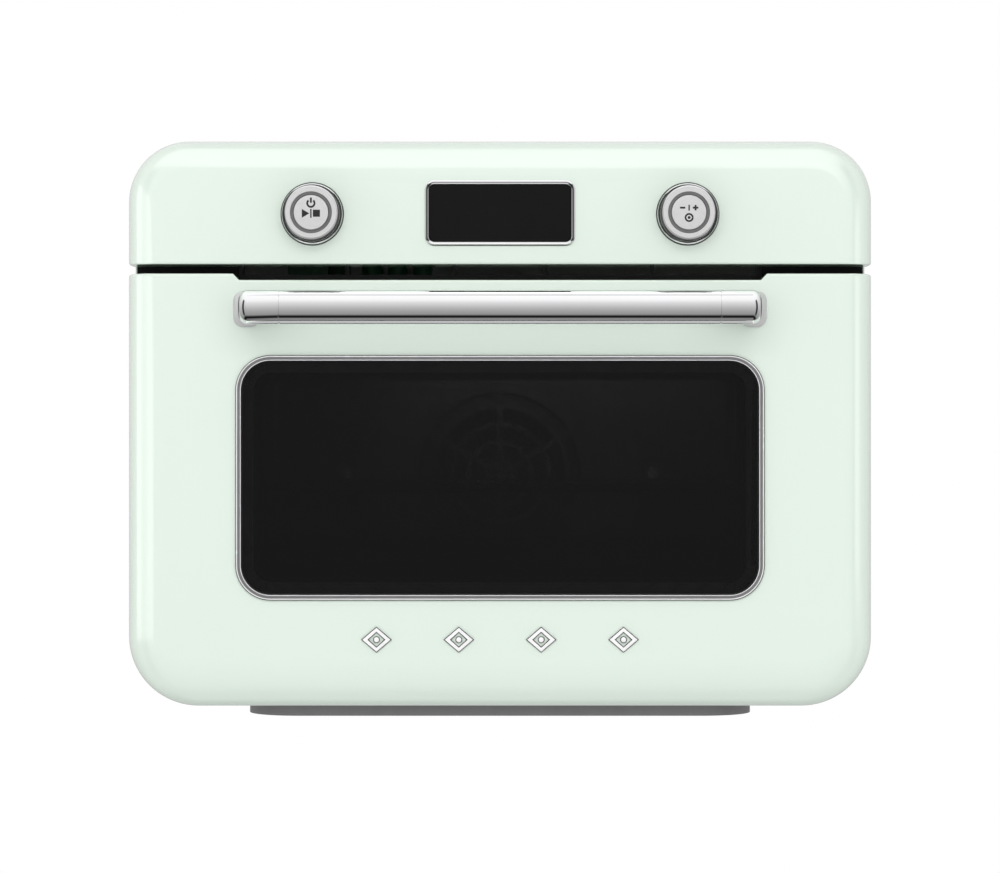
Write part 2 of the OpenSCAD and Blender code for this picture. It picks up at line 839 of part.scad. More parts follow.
module glass_retainer() {
    low = front_y - 0.6 + glass_t;
    color("gray") slab(low, low + 1.5) difference() {
        round_window(trim_w + 8, trim_h + 8, trim_r + 4, window_z);
        round_window(pane_w - 16, pane_h - 16, pane_r - 8, window_z);
    }
}

module inner_glass() {
    high = door_back - liner_t - 0.2;
    color("black", 0.5) slab(high - inner_glass_t, high)
        round_window(pane_w - 10, pane_h - 10, pane_r - 5, window_z);
}

// Back plate of the door, slotted for the hinge brackets
module door_liner() {
    color("gray") difference() {
        slab(door_back - liner_t - 0.2, door_back - 0.2) difference() {
            round_outline(body_w / 2 - sheet - gap, door_low + sheet + gap, door_high - vent_step - sheet - 1,
                low_corner - sheet - gap, 3);
            round_window(pane_w - 24, pane_h - 24, 10, window_z);
        }
        both_sides()
            block([hinge_x - 2.2, door_back - 5, hinge_z - 15], [hinge_x + 2.2, door_back + 1, hinge_z + 38]);
    }
}

module handle_bar() {
    color("silver") difference() {
        bar_x(bar_y, bar_z, bar_d / 2, -bar_len / 2, bar_len / 2);
        bar_x(bar_y, bar_z, bar_d / 2 - bar_wall, -bar_len, bar_len);
    }
}

// Upright oval about the bar's height: straight sides between two half circles
module upright_oval(x, w, h) {
    translate([x, 0]) round_outline(w / 2, bar_z - h / 2, bar_z + h / 2, w / 2 - 0.01, w / 2 - 0.01);
}

// End caps of the bar, each with an oval post and a collar
module handle_ends() {
    color("silver") both_sides() difference() {
        union() {
            bar_x(bar_y, bar_z, bar_d / 2, bar_len / 2, cap_x - cap_r);
            translate([cap_x - cap_r, bar_y, bar_z]) rotate([0, 90, 0]) rotate_extrude() {
                square([bar_d / 2 - cap_r, cap_r]);
                intersection() {
                    translate([bar_d / 2 - cap_r, 0]) circle(cap_r);
                    square([bar_d / 2, cap_r]);
                }
            }
            slab(bar_y, front_y - 2.5) upright_oval(post_x, post_w, post_h);
            slab(front_y - 2.5, front_y) upright_oval(collar_x, collar_w, collar_h);
        }
        bar_y(post_x, bar_z, 1.9, front_y - 10, front_y + 1);
    }
}

module handle_screws() {
    color("silver") both_sides() {
        bar_y(post_x, bar_z, 5, front_y + sheet, front_y + sheet + 2.4);
        bar_y(post_x, bar_z, 1.9, front_y - 9, front_y + sheet);
    }
}

// Two cheeks that hold each hinge pin, fixed to the door's back plate
module hinge_arms() {
    high_y = door_back - liner_t - 0.2;
    color("silver") both_sides() difference() {
        for (x = [hinge_x - 2.4 - leaf_t, hinge_x + 2.4])
            block([x, hinge_y - 8, hinge_z - 8], [x + leaf_t, high_y, hinge_z + 60]);
        bar_x(hinge_y, hinge_z, pin_r, hinge_x - 20, hinge_x + 20);
    }
}

module hinge_pins() {
    color("silver") both_sides() {
        bar_x(hinge_y, hinge_z, pin_r, hinge_x - 6, hinge_x + 20);
        bar_x(hinge_y, hinge_z, 5, hinge_x - 7.5, hinge_x - 6);
        bar_x(hinge_y, hinge_z, 5, hinge_x + 20, hinge_x + 21.5);
    }
}

// Close-wound torsion springs on the hinge pins, each with one leg against its arm
module hinge_springs() {
    turns = 7;
    wire = 0.9;
    coil_r = pin_r + 0.3 + wire;
    color("gray") both_sides() {
        translate([hinge_x + 5.4, hinge_y, hinge_z]) rotate([0, 90, 0]) rotate_extrude()
            for (i = [0:turns - 1]) translate([coil_r, wire + i * 1.7 * wire]) circle(wire);
        translate([hinge_x + 5.6 + wire, hinge_y - coil_r, hinge_z]) cylinder(r = wire, h = 30);
    }
}

// Four lozenge ornaments, each with a stud in the middle
module door_ornaments() {
    color("silver") slab(front_y - 1.6, front_y)
        for (x = [-80.85, -26.95, 26.95, 80.85]) translate([x, 54.2]) {
            difference() {
                polygon([[-10, 0], [0, -8.5], [10, 0], [0, 8.5]]);
                polygon([[-6.2, 0], [0, -5.2], [6.2, 0], [0, 5.2]]);
            }
            circle(1.9);
        }
}

// ---- Hinge brackets on the cabinet ----

module hinge_brackets() {
    reach = 39;
    lean = 56;
    tail_y = cav_y + 0.1;
    color("silver") both_sides() difference() {
        union() {
            side_slab(hinge_x - lever_t / 2, hinge_x + lever_t / 2) {
                translate([hinge_y, hinge_z]) {
                    circle(eye_r);
                    rotate(lean) translate([0, -4.5]) square([reach, 9]);
                }
                translate([tail_y, frame_low + 1]) square([28, 60]);
            }
            block([hinge_x + lever_t / 2, tail_y, frame_low + 26],
                [hinge_x + 14, tail_y + 1.5, frame_low + 60]);
        }
        bar_x(hinge_y, hinge_z, pin_r + 0.08, hinge_x - 5, hinge_x + 5);
    }
}

cabinet_wrap();
base_pan();
rear_cover();
rear_cover_screws();
rear_bumpers();
front_frame();
hinge_trough();
plinth();
foot_pads();
vent_grille();
control_fascia();
display_bezel();
display_glass();
display_module();
control_board();
encoders();
knob_bases();
heat_shield();
power_board();
terminal_block();
cord_gland();
cavity_liner();
cavity_insulation();
rack_supports();
heater_rods();
heater_bushes();
ring_heater();
fan_cover();
fan_cover_screws();
fan_motor();
motor_bracket();
oven_lamp();
lamp_lens();
temperature_probe();
thermal_cutout();
door_gasket();
hinge_brackets();
door_panel();
window_trim();
outer_glass();
glass_retainer();
inner_glass();
door_liner();
handle_bar();
handle_ends();
handle_screws();
hinge_arms();
hinge_pins();
hinge_springs();
door_ornaments();
convection_fan();
cooling_fan();
motor_shaft();
left_knob_ring();
right_knob_ring();
left_button();
right_button();
wire_rack();
baking_tray();
crumb_tray();
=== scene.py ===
"""Looks of the countertop toaster oven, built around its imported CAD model."""
import json
import math

import bmesh
import bpy
from mathutils import Matrix, Vector


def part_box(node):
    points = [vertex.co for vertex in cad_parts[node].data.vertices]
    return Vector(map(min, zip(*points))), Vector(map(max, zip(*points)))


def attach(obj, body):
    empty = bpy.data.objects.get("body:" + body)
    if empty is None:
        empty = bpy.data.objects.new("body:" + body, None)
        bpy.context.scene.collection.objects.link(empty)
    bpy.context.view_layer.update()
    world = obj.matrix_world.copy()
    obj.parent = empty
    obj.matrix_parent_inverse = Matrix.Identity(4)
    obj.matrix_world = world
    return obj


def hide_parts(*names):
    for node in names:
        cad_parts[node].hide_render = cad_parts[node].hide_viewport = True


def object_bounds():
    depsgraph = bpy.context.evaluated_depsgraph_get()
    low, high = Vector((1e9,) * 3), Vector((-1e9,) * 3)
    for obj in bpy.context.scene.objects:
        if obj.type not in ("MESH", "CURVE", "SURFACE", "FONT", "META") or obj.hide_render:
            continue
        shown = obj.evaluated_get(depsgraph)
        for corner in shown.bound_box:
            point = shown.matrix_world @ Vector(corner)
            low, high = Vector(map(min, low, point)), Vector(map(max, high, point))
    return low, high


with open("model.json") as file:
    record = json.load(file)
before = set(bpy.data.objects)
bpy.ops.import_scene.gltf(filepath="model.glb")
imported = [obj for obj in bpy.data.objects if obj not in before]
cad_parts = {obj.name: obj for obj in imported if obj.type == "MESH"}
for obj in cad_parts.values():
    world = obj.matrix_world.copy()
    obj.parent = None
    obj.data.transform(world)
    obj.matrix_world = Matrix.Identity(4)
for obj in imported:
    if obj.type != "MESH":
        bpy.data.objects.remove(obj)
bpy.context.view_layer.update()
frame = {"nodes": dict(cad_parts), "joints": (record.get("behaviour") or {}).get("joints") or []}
scene = bpy.context.scene
MM = 0.001

# ---- Places and sizes taken from the frame ----
FASCIA_LOW, FASCIA_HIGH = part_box("control_fascia")
DOOR_LOW, DOOR_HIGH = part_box("door_panel")
WRAP_LOW, WRAP_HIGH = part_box("cabinet_wrap")
FRONT = DOOR_LOW.y
HALF_W = DOOR_HIGH.x
SHEET = 1.5 * MM
EDGE_R = 20 * MM
DOOR_BOTTOM_R = 32 * MM
TOP_CORNER_R = 40 * MM
LOW_CORNER_R = 46 * MM
SEAM_R = 1.6 * MM
JOINTS = {j["name"]: j for j in frame["joints"]}
HINGE = Vector(JOINTS["door_hinge"]["pos_m"])


def middle_of(name):
    """Middle of a CAD node's box."""
    low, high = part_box(name)
    return (low + high) / 2


# ---- Mesh helpers ----

def smooth(obj, sharp):
    """Smooth shading, apart from edges over the given angle in degrees."""
    obj.data.shade_smooth()
    obj.data.set_sharp_from_angle(angle=math.radians(sharp))


def make_object(name, verts, faces, sharp=35):
    """A linked mesh object with outward normals, smooth apart from its sharp edges."""
    mesh = bpy.data.meshes.new(name)
    mesh.from_pydata([tuple(v) for v in verts], [], faces)
    mesh.validate()
    work = bmesh.new()
    work.from_mesh(mesh)
    bmesh.ops.remove_doubles(work, verts=work.verts, dist=1e-7)
    bmesh.ops.recalc_face_normals(work, faces=work.faces)
    work.to_mesh(mesh)
    work.free()
    obj = bpy.data.objects.new(name, mesh)
    scene.collection.objects.link(obj)
    smooth(obj, sharp)
    return obj


def loft(name, rings, closed=False, sharp=35):
    """A skin over rings of equal length; closed joins the last to the first, else both ends are filled."""
    count = len(rings[0])
    verts = [v for ring in rings for v in ring]
    faces = []
    pairs = len(rings) if closed else len(rings) - 1
    for k in range(pairs):
        a, b = k * count, ((k + 1) % len(rings)) * count
        for i in range(count):
            j = (i + 1) % count
            faces.append((a + i, a + j, b + j, b + i))
    if not closed:
        faces.append(tuple(range(count)))
        faces.append(tuple(range(len(verts) - count, len(verts))))
    return make_object(name, verts, faces, sharp=sharp)


def apply_modifiers(obj):
    """Replaces the object's mesh with its evaluated one."""
    bpy.context.view_layer.update()
    depsgraph = bpy.context.evaluated_depsgraph_get()
    mesh = bpy.data.meshes.new_from_object(obj.evaluated_get(depsgraph))
    obj.modifiers.clear()
    old = obj.data
    obj.data = mesh
    mesh.name = obj.name
    if old.users == 0:
        bpy.data.meshes.remove(old)
    return obj


def soften(obj, width):
    """Rounds the sharp edges and gives flat faces flat normals."""
    if width > 0:
        bevel = obj.modifiers.new("bevel", "BEVEL")
        bevel.width = width
        bevel.segments = 3
        bevel.limit_method = "ANGLE"
        bevel.angle_limit = math.radians(30)
        bevel.use_clamp_overlap = True
    normals = obj.modifiers.new("normals", "WEIGHTED_NORMAL")
    normals.keep_sharp = True
    return apply_modifiers(obj)


def combine(obj, operation, tools):
    """Applies a boolean with each tool to the object and removes the tools."""
    for tool in tools:
        boolean = obj.modifiers.new("combine", "BOOLEAN")
        boolean.operation = operation
        boolean.solver = "EXACT"
        boolean.object = tool
    apply_modifiers(obj)
    for tool in tools:
        bpy.data.objects.remove(tool)
    return obj


def cut(obj, *cutters):
    """Subtracts the cutters from the object and removes them."""
    return combine(obj, "DIFFERENCE", cutters)


def fuse(obj, *others):
    """Merges the others into the object and removes them."""
    return combine(obj, "UNION", others)


def join(name, objects):
    """Joins objects into one mesh object."""
    work = bmesh.new()
    for obj in objects:
        work.from_mesh(obj.data)
    mesh = bpy.data.meshes.new(name)
    work.to_mesh(mesh)
    work.free()
    joined = bpy.data.objects.new(name, mesh)
    scene.collection.objects.link(joined)
    for obj in objects:
        bpy.data.objects.remove(obj)
    smooth(joined, 35)
    return joined


def mirrored(obj, name):
    """A copy of the object on the other side of the middle plane."""
    copy = obj.copy()
    copy.data = obj.data.copy()
    copy.name = name
    scene.collection.objects.link(copy)
    copy.data.transform(Matrix.Scale(-1, 4, (1, 0, 0)))
    copy.data.flip_normals()
    return copy


def arc(cx, cz, rx, rz, start, end, steps):
    """Points along an elliptical arc, angles in degrees."""
    points = []
    for i in range(steps + 1):
        t = math.radians(start + (end - start) * i / steps)
        points.append((cx + rx * math.cos(t), cz + rz * math.sin(t)))
    return points


def round_rect(half_w, low, high, r, steps=10):
    """Rounded rectangle outline in X and Z, counter-clockwise from the right."""
    points = arc(half_w - r, high - r, r, r, 0, 90, steps)
    points += arc(r - half_w, high - r, r, r, 90, 180, steps)
    points += arc(r - half_w, low + r, r, r, 180, 270, steps)
    points += arc(half_w - r, low + r, r, r, 270, 360, steps)
    return points


def circle(a, b, r, steps):
    """Points round a circle about (a, b), in whichever plane the caller works."""
    turns = (2 * math.pi * i / steps for i in range(steps))
    return [(a + r * math.cos(t), b + r * math.sin(t)) for t in turns]


def quarter(steps):
    """Sine and cosine at even steps through a quarter turn."""
    turns = (math.pi / 2 * i / steps for i in range(steps + 1))
    return [(math.sin(t), math.cos(t)) for t in turns]


def prism(name, outline, y0, y1):
    """An outline in X and Z given thickness along Y."""
    rings = [[(x, y, z) for x, z in outline] for y in (y0, y1)]
    return loft(name, rings)


def rect(x0, z0, x1, z1):
    """Corners of an upright rectangle."""
    return [(x0, z0), (x1, z0), (x1, z1), (x0, z1)]


def lathe(name, profile, cx, cz, steps, sharp):
    """Turns a closed (radius, y) profile about an axis along Y."""
    rings = [[(cx + r * a, y, cz + r * b) for r, y in profile] for a, b in circle(0, 0, 1, steps)]
    return loft(name, rings, closed=True, sharp=sharp)


def disc(name, profile, cx, cz, steps, sharp=35):
    """Turns an open (radius, y) profile about an axis along Y and closes both ends."""
    rings = [[(x, y, z) for x, z in circle(cx, cz, r, steps)] for r, y in profile]
    return loft(name, rings, sharp=sharp)


def side_hole(y, z, r, x0, x1, steps=40):
    """Round cutter along X."""
    return loft("cutter", [[(x, a, b) for a, b in circle(y, z, r, steps)] for x in (x0, x1)])


def upright_hole(x, y, r, z0, z1, steps):
    """Round cutter along Z."""
    return loft("cutter", [[(a, b, z) for a, b in circle(x, y, r, steps)] for z in (z0, z1)])


def spindle(name, axis, stations, closed=False, sharp=35):
    """Turns (x, radius) stations about a line along X, axis being its (y, z)."""
    rings = [[(x, y, z) for y, z in circle(*axis, r, 96)] for x, r in stations]
    return loft(name, rings, closed=closed, sharp=sharp)


def tube(name, path, r, steps=16, closed=False):
    """A round tube along a path."""
    count = len(path)
    points = [Vector(p) for p in path]
    rings = []
    side = None
    for i, p in enumerate(points):
        before = points[i - 1] if (i > 0 or closed) else p
        after = points[(i + 1) % count] if (i < count - 1 or closed) else p
        along = (after - before).normalized()
        if side is None:
            side = along.orthogonal().normalized()
        side = (side - along * side.dot(along)).normalized()
        up = along.cross(side)
        rings.append([p + a * side + b * up for a, b in circle(0, 0, r, steps)])
    return loft(name, rings, closed=closed)


# ---- Materials ----

def new_material(name):
    """A material, its node tree and its principled shader."""
    mat = bpy.data.materials.new(name)
    mat.use_nodes = True
    return mat, mat.node_tree, mat.node_tree.nodes["Principled BSDF"]


def node(tree, kind, **values):
    """A node with some of its inputs set; a socket is linked, anything else is its value."""
    made = tree.nodes.new(kind)
    for key, value in values.items():
        place = made.inputs[int(key[1:])] if key[1:].isdigit() else made.inputs[key.replace("_", " ")]
        if isinstance(value, bpy.types.NodeSocket):
            tree.links.new(value, place)
        else:
            place.default_value = value
    return made


def add_noise(tree, scale, detail, stretch):
    """Noise in the object's own coordinates; returns its factor socket."""
    coord = node(tree, "ShaderNodeTexCoord")
    mapping = node(tree, "ShaderNodeMapping", Vector=coord.outputs["Object"], Scale=stretch)
    noise = node(tree, "ShaderNodeTexNoise", Vector=mapping.outputs["Vector"], Scale=scale, Detail=detail)
    return noise.outputs["Fac"]


def add_ramp(tree, source, stops):
    """Maps a factor through colour stops; returns the colour socket."""
    ramp = node(tree, "ShaderNodeValToRGB", Fac=source)
    elements = ramp.color_ramp.elements
    while len(elements) < len(stops):
        elements.new(0.5)
    for element, (place, colour) in zip(elements, stops):
        element.position = place
        element.color = (*colour, 1)
    return ramp.outputs["Color"]


def add_range(tree, source, low, high):
    """Maps a factor from 0..1 to low..high; returns the value socket."""
    return node(tree, "ShaderNodeMapRange", Value=source, To_Min=low, To_Max=high).outputs["Result"]


def add_bump(tree, shader, source, strength, distance):
    """Raises the surface a little where the source is high."""
    bump = node(tree, "ShaderNodeBump", Strength=strength, Distance=distance, Height=source)
    tree.links.new(bump.outputs["Normal"], shader.inputs["Normal"])


def shade(colour, amount):
    """The colour made lighter or darker, up to white."""
    return tuple(min(1.0, c * amount) for c in colour)


def surface(name, colour, rough, metal=0.0, vary=0.03, scale=40, stretch=(1, 1, 1), bump=0.1,
            bump_scale=600, bump_depth=0.0001, bump_stretch=None, ior=1.5, coat=0.0, specular=0.5):
    """Colour variation, roughness variation and a fine bump, for one kind of surface."""
    mat, tree, shader = new_material(name)
    broad = add_noise(tree, scale, 4, stretch)
    mottled = add_ramp(tree, broad, [(0.3, shade(colour, 1 - vary)), (0.7, shade(colour, 1 + vary))])
    tree.links.new(mottled, shader.inputs["Base Color"])
    tree.links.new(add_range(tree, broad, *rough), shader.inputs["Roughness"])
    fine = add_noise(tree, bump_scale, 2, bump_stretch or stretch)
    add_bump(tree, shader, fine, bump, bump_depth)
    for socket, value in (("Metallic", metal), ("IOR", ior), ("Specular IOR Level", specular),
                          ("Coat Weight", coat), ("Coat Roughness", 0.03)):
        shader.inputs[socket].default_value = value
    return mat


def tinted_glass(name, colour, alpha, rough=(0.015, 0.04), ior=1.5):
    """Dark heat-reflecting glass: glossy, and only slightly see-through."""
    mat = surface(name, colour, rough, vary=0.06, scale=8, bump=0.02, bump_scale=30, bump_depth=0.0002,
                  ior=ior)
    mat.node_tree.nodes["Principled BSDF"].inputs["Alpha"].default_value = alpha
    return mat


MINT = (0.690, 0.782, 0.704)
MATERIALS = {
    "mint": surface("mint_enamel", MINT, (0.16, 0.20), vary=0.006, scale=6, bump=0.05,
                    bump_scale=260, bump_depth=0.00004, coat=1.0),
    "chrome": surface("bright_chrome", (0.86, 0.86, 0.87), (0.035, 0.055), metal=1.0, vary=0.01, scale=20,
                      bump=0.03, bump_scale=180, bump_depth=0.00003),
    "satin": surface("satin_turned_metal", (0.67, 0.665, 0.665), (0.34, 0.44), metal=0.5,
                     scale=300, bump=0.2, bump_scale=900, bump_depth=0.00003, bump_stretch=(1, 1, 4)),
    # Near black for the knobs' side walls: painted shade and dark reflection where the wall drops to the
    # collar
    "sleeve": surface("dark_knob_side", (0.105, 0.100, 0.102), (0.5, 0.6), vary=0.1, scale=200,
                      bump_scale=900, bump_depth=0.00003, specular=0.0),
    "nickel": surface("brushed_nickel", (0.92, 0.91, 0.92), (0.22, 0.30), metal=0.2, vary=0.02, scale=160,
                      bump_scale=900, bump_depth=0.00003),
    # Grey for the trim's groove: painted dark reflection and shade in the groove
    "groove": surface("painted_shade_trim_groove", (0.16, 0.16, 0.165), (0.4, 0.5), vary=0.06, scale=160,
                      bump_scale=700, specular=0.3),
    # Near black for thin strips that paint shadow lines and dark reflections at the trim, lozenges, handle
    # ends and knob collars
    "edge": surface("painted_shadow_line", (0.060, 0.068, 0.062), (0.45, 0.55), vary=0.1, scale=200,
                    bump_scale=900, specular=0.1),
    "inlay": surface("grey_inlay_ring", (0.118, 0.118, 0.118), (0.35, 0.45), vary=0.08, scale=200,
                     bump_scale=700),
    "ink": surface("black_ink", (0.012, 0.012, 0.012), (0.45, 0.6), vary=0.2, scale=400,
                   bump_scale=2500, bump_depth=0.00002),
    "black_glass": tinted_glass("black_glass", (0.0030, 0.0030, 0.0030), 0.78, ior=1.26),
    "display_glass": surface("display_glass", (0.0050, 0.0050, 0.0050), (0.05, 0.09), vary=0.08, scale=60,
                             bump=0.02, bump_scale=40, ior=1.22),
    "inner_glass": tinted_glass("inner_glass", (0.006, 0.006, 0.006), 0.15, ior=1.26),
    "lens": tinted_glass("lamp_lens_glass", (0.75, 0.78, 0.80), 0.35, (0.08, 0.14)),
    "black": surface("black_enamel", (0.0024, 0.0024, 0.0025), (0.4, 0.55), vary=0.2, scale=90, bump=0.2,
                     bump_scale=900, specular=0.15),
    "cavity": surface("speckled_cavity_enamel", (0.060, 0.060, 0.063), (0.22, 0.38), vary=0.35, scale=520,
                      bump=0.25, bump_scale=700, bump_depth=0.00012),
    "cover": surface("fan_cover_enamel", (0.10, 0.10, 0.104), (0.25, 0.4), vary=0.2, scale=420, bump=0.2,
                     bump_scale=700),
    "foot_plate": surface("brushed_foot_plate", (0.62, 0.615, 0.62), (0.26, 0.34), metal=0.5, scale=120),
    "tray": surface("dark_tray_coating", (0.035, 0.035, 0.037), (0.32, 0.46), vary=0.16, scale=260,
                    bump=0.2, bump_scale=900),
    "zinc": surface("galvanised_sheet", (0.52, 0.52, 0.53), (0.34, 0.52), metal=1.0, vary=0.14, scale=55,
                    bump=0.12, bump_scale=300),
    "grey_back": surface("painted_back_sheet", (0.42, 0.44, 0.43), (0.4, 0.52), scale=30, bump=0.25,
                         bump_scale=850, bump_depth=0.00012),
    "wire": surface("plated_wire", (0.72, 0.72, 0.73), (0.12, 0.2), metal=1.0, vary=0.05, scale=90,
                    bump=0.08, bump_scale=500),
    "screw": surface("zinc_plated_screw", (0.55, 0.55, 0.54), (0.25, 0.38), metal=1.0, vary=0.08, scale=300,
                     bump=0.2, bump_scale=1500),
    "heater": surface("heat_tinted_sheath", (0.23, 0.17, 0.14), (0.38, 0.52), metal=0.7, vary=0.25,
                      scale=70, bump=0.25),
    "ceramic": surface("glazed_ceramic", (0.78, 0.76, 0.71), (0.2, 0.35), vary=0.04, scale=120, bump=0.12,
                       bump_scale=500),
    "aluminium": surface("stamped_aluminium", (0.62, 0.62, 0.63), (0.3, 0.42), metal=1.0, vary=0.07,
                         scale=120, bump=0.15, bump_scale=700),
    "moulding": surface("grey_moulding", (0.20, 0.20, 0.20), (0.42, 0.58), vary=0.05, scale=90, bump=0.3,
                        bump_scale=1400, bump_depth=0.00006),
    "black_moulding": surface("black_moulding", (0.0075, 0.0075, 0.0080), (0.4, 0.5), vary=0.15, scale=120,
                              bump=0.3, bump_scale=1300, specular=0.2),
    "rubber": surface("black_rubber", (0.02, 0.02, 0.02), (0.68, 0.82), vary=0.12, scale=150, bump=0.4,
                      bump_scale=1200, bump_depth=0.00015),
    "board": surface("circuit_board", (0.02, 0.11, 0.045), (0.3, 0.45), vary=0.2, scale=160, bump=0.3,
                     bump_scale=500),
    "motor": surface("motor_lacquer", (0.12, 0.125, 0.13), (0.35, 0.5), metal=0.4, vary=0.12, scale=140,
                     bump=0.3, bump_scale=420, bump_stretch=(1, 9, 1)),
    "wool": surface("glass_wool", (0.62, 0.56, 0.40), (0.85, 0.95), vary=0.22, scale=110, bump=0.9,
                    bump_scale=320, bump_depth=0.0012),
}


def paint(obj, key):
    """Gives the object one material."""
    obj.data.materials.clear()
    obj.data.materials.append(MATERIALS[key])


def piece(obj, key, body, slot, *nodes):
    """Gives a new piece its material and its body, and hides the CAD nodes it stands for; its slot is not
    used.
    """
    paint(obj, key)
    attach(obj, body)
    if nodes:
        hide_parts(*nodes)


# ---- Enamel shells ----

def pan_loop(inset_side, inset_far, inset_seam, seam_z, far_z, corner, step):
    """One closed outline of a pan: square along its seam edge, round at its two far corners."""
    up = 1 if far_z > seam_z else -1
    side = HALF_W - inset_side
    far = far_z - up * inset_far
    seam = seam_z + up * inset_seam
    tip = SEAM_R
    rx, rz = corner - inset_side, corner - inset_far
    points = [(side, seam + up * tip * 1.5)]
    points += arc(side - rx, far - up * rz, rx, up * rz, 0, 90, 20)
    points += arc(rx - side, far - up * rz, rx, up * rz, 90, 180, 20)
    points += arc(tip - side, seam + up * tip, tip, up * tip, 180, 270, 4)
    if step:
        outer, inner, depth = step
        points += [(-outer, seam), (-inner, seam + up * depth), (inner, seam + up * depth), (outer, seam)]
    points += arc(side - tip, seam + up * tip, tip, up * tip, 270, 360, 4)
    return points


def pan_shell(name, seam_z, far_z, corner, far_r, depth, step=None):
    """Pressed pan with a rounded front, a hollow back and a flange along its seam edge."""
    bend = quarter(18)
    rings = []

    def add(side, far, seam, y):
        outline = pan_loop(side, far, seam, seam_z, far_z, corner, step)
        rings.append([(x, y, z) for x, z in outline])

    for sine, cosine in bend:
        y = EDGE_R * (1 - cosine)
        rise = max(0.0, 1 - y / SEAM_R)
        seam = SEAM_R * (1 - math.sqrt(1 - rise * rise))
        add(EDGE_R * (1 - sine), far_r * (1 - sine), seam, FRONT + y)
    rim = 0.5 * MM
    add(0, 0, 0, FRONT + depth - rim)
    add(rim, rim, rim, FRONT + depth)
    add(SHEET, SHEET, SHEET, FRONT + depth)
    for sine, cosine in reversed(bend):
        y = SHEET + (EDGE_R - SHEET) * (1 - cosine)
        add(SHEET + (EDGE_R - SHEET) * (1 - sine), SHEET + (far_r - SHEET) * (1 - sine), SHEET, FRONT + y)
    return loft(name, rings, sharp=40)


def front_cutter(outline):
    """Cutter through the front panels, along Y."""
    reach = 5 * MM
    return prism("cutter", outline, FRONT - reach, FRONT + reach)


def hub_cutter(joint):
    """Hole for a control's shaft."""
    x, _, z = JOINTS[joint]["pos_m"]
    hub_r = 6.2 * MM
    return front_cutter(circle(x, z, hub_r, 64))


def make_fascia():
    """Control panel over the door, with its display window and two shaft holes."""
    depth = FASCIA_HIGH.y - FRONT
    shell = pan_shell("fascia_shell", FASCIA_LOW.z, FASCIA_HIGH.z, TOP_CORNER_R, EDGE_R, depth)
    low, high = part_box("display_module")
    window_half, window_r = 47 * MM, 3.2 * MM
    window = round_rect(window_half, low.z - 1.9 * MM, high.z + 2.1 * MM, window_r, 6)
    cut(shell, front_cutter(window), hub_cutter("left_knob_turn"), hub_cutter("right_knob_turn"))
    soften(shell, 0)
    piece(shell, "mint", "cabinet", "mint_enamel", "control_fascia")


def make_door():
    """Door panel: its top edge steps down for the vent, and its lower corners are round."""
    drop, lift = 0.6 * MM, 0.9 * MM
    vent_step = (175 * MM, 171 * MM, 4.2 * MM)
    shell = pan_shell("door_shell", DOOR_HIGH.z - drop, DOOR_LOW.z + lift, LOW_CORNER_R, DOOR_BOTTOM_R,
                      DOOR_HIGH.y - FRONT, vent_step)
    low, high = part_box("outer_glass")
    margin, window_r = 0.3 * MM, 18.8 * MM
    window = round_rect(high.x + margin, low.z - margin, high.z + margin, window_r, 12)
    cut(shell, front_cutter(window))
    soften(shell, 0)
    piece(shell, "mint", "door", "mint_enamel", "door_panel")


def make_wrap():
    """Cabinet shell: one bent sheet with a hemmed front edge, slots and the hinge notches."""
    wall, fold = 1.2 * MM, 24 * MM
    high_r, low_r = 38 * MM, 44 * MM
    half, low, high = WRAP_HIGH.x, WRAP_LOW.z, WRAP_HIGH.z
    foot = half - low_r

    def band(inset):
        h, r, q = half - inset, high_r - inset, low_r - inset
        points = [(foot, low + inset)]
        points += arc(h - q, low + inset + q, q, q, 270, 360, 18)
        points += arc(h - r, high - inset - r, r, r, 0, 90, 18)
        points += arc(r - h, high - inset - r, r, r, 90, 180, 18)
        points += arc(q - h, low + inset + q, q, q, 180, 270, 18)
        points.append((-foot, low + inset))
        return points

    hem = 0.6 * MM
    front, back = WRAP_LOW.y, WRAP_HIGH.y
    stations = [(front, hem * 0.5, wall - hem * 0.5), (front + hem * 0.2, hem * 0.15, wall - hem * 0.15),
                (front + hem, 0, wall), (back - wall, 0, wall), (back - wall, 0, fold),
                (back, 0.1 * MM, fold)]
    rings = [[(x, y, z) for x, z in band(outer) + band(inner)[::-1]] for y, outer, inner in stations]
    shell = loft("cabinet_shell", rings, sharp=40)
    notch_r = 29 * MM
    notches = side_hole(HINGE.y, HINGE.z, notch_r, -HALF_W, HALF_W, 72)
    cut(shell, side_slots(60 * MM), side_slots(300 * MM), notches)
    soften(shell, 0)
    piece(shell, "mint", "cabinet", "mint_enamel", "cabinet_wrap")


def side_slots(low):
    """Upright vent slots through both side walls, as one cutter."""
    r, height, pitch = 1.5 * MM, 30 * MM, 9 * MM
    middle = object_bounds()[1][1] - 70 * MM
    slots = []
    for i in range(-4, 5):
        y = middle + i * pitch
        ends = arc(y, low + height, r, r, 0, 180, 8) + arc(y, low, r, r, 180, 360, 8)
        slots.append(loft("slot", [[(x, a, b) for a, b in ends] for x in (-HALF_W, HALF_W)]))
    return join("cutter", slots)


# ---- Handle ----

def plate(cx, cz, half_w, half_h, r, y):
    """Upright rounded outline about (cx, cz) at one depth."""
    return [(cx + x, y, cz + z) for x, z in round_rect(half_w, -half_h, half_h, r, 14)]


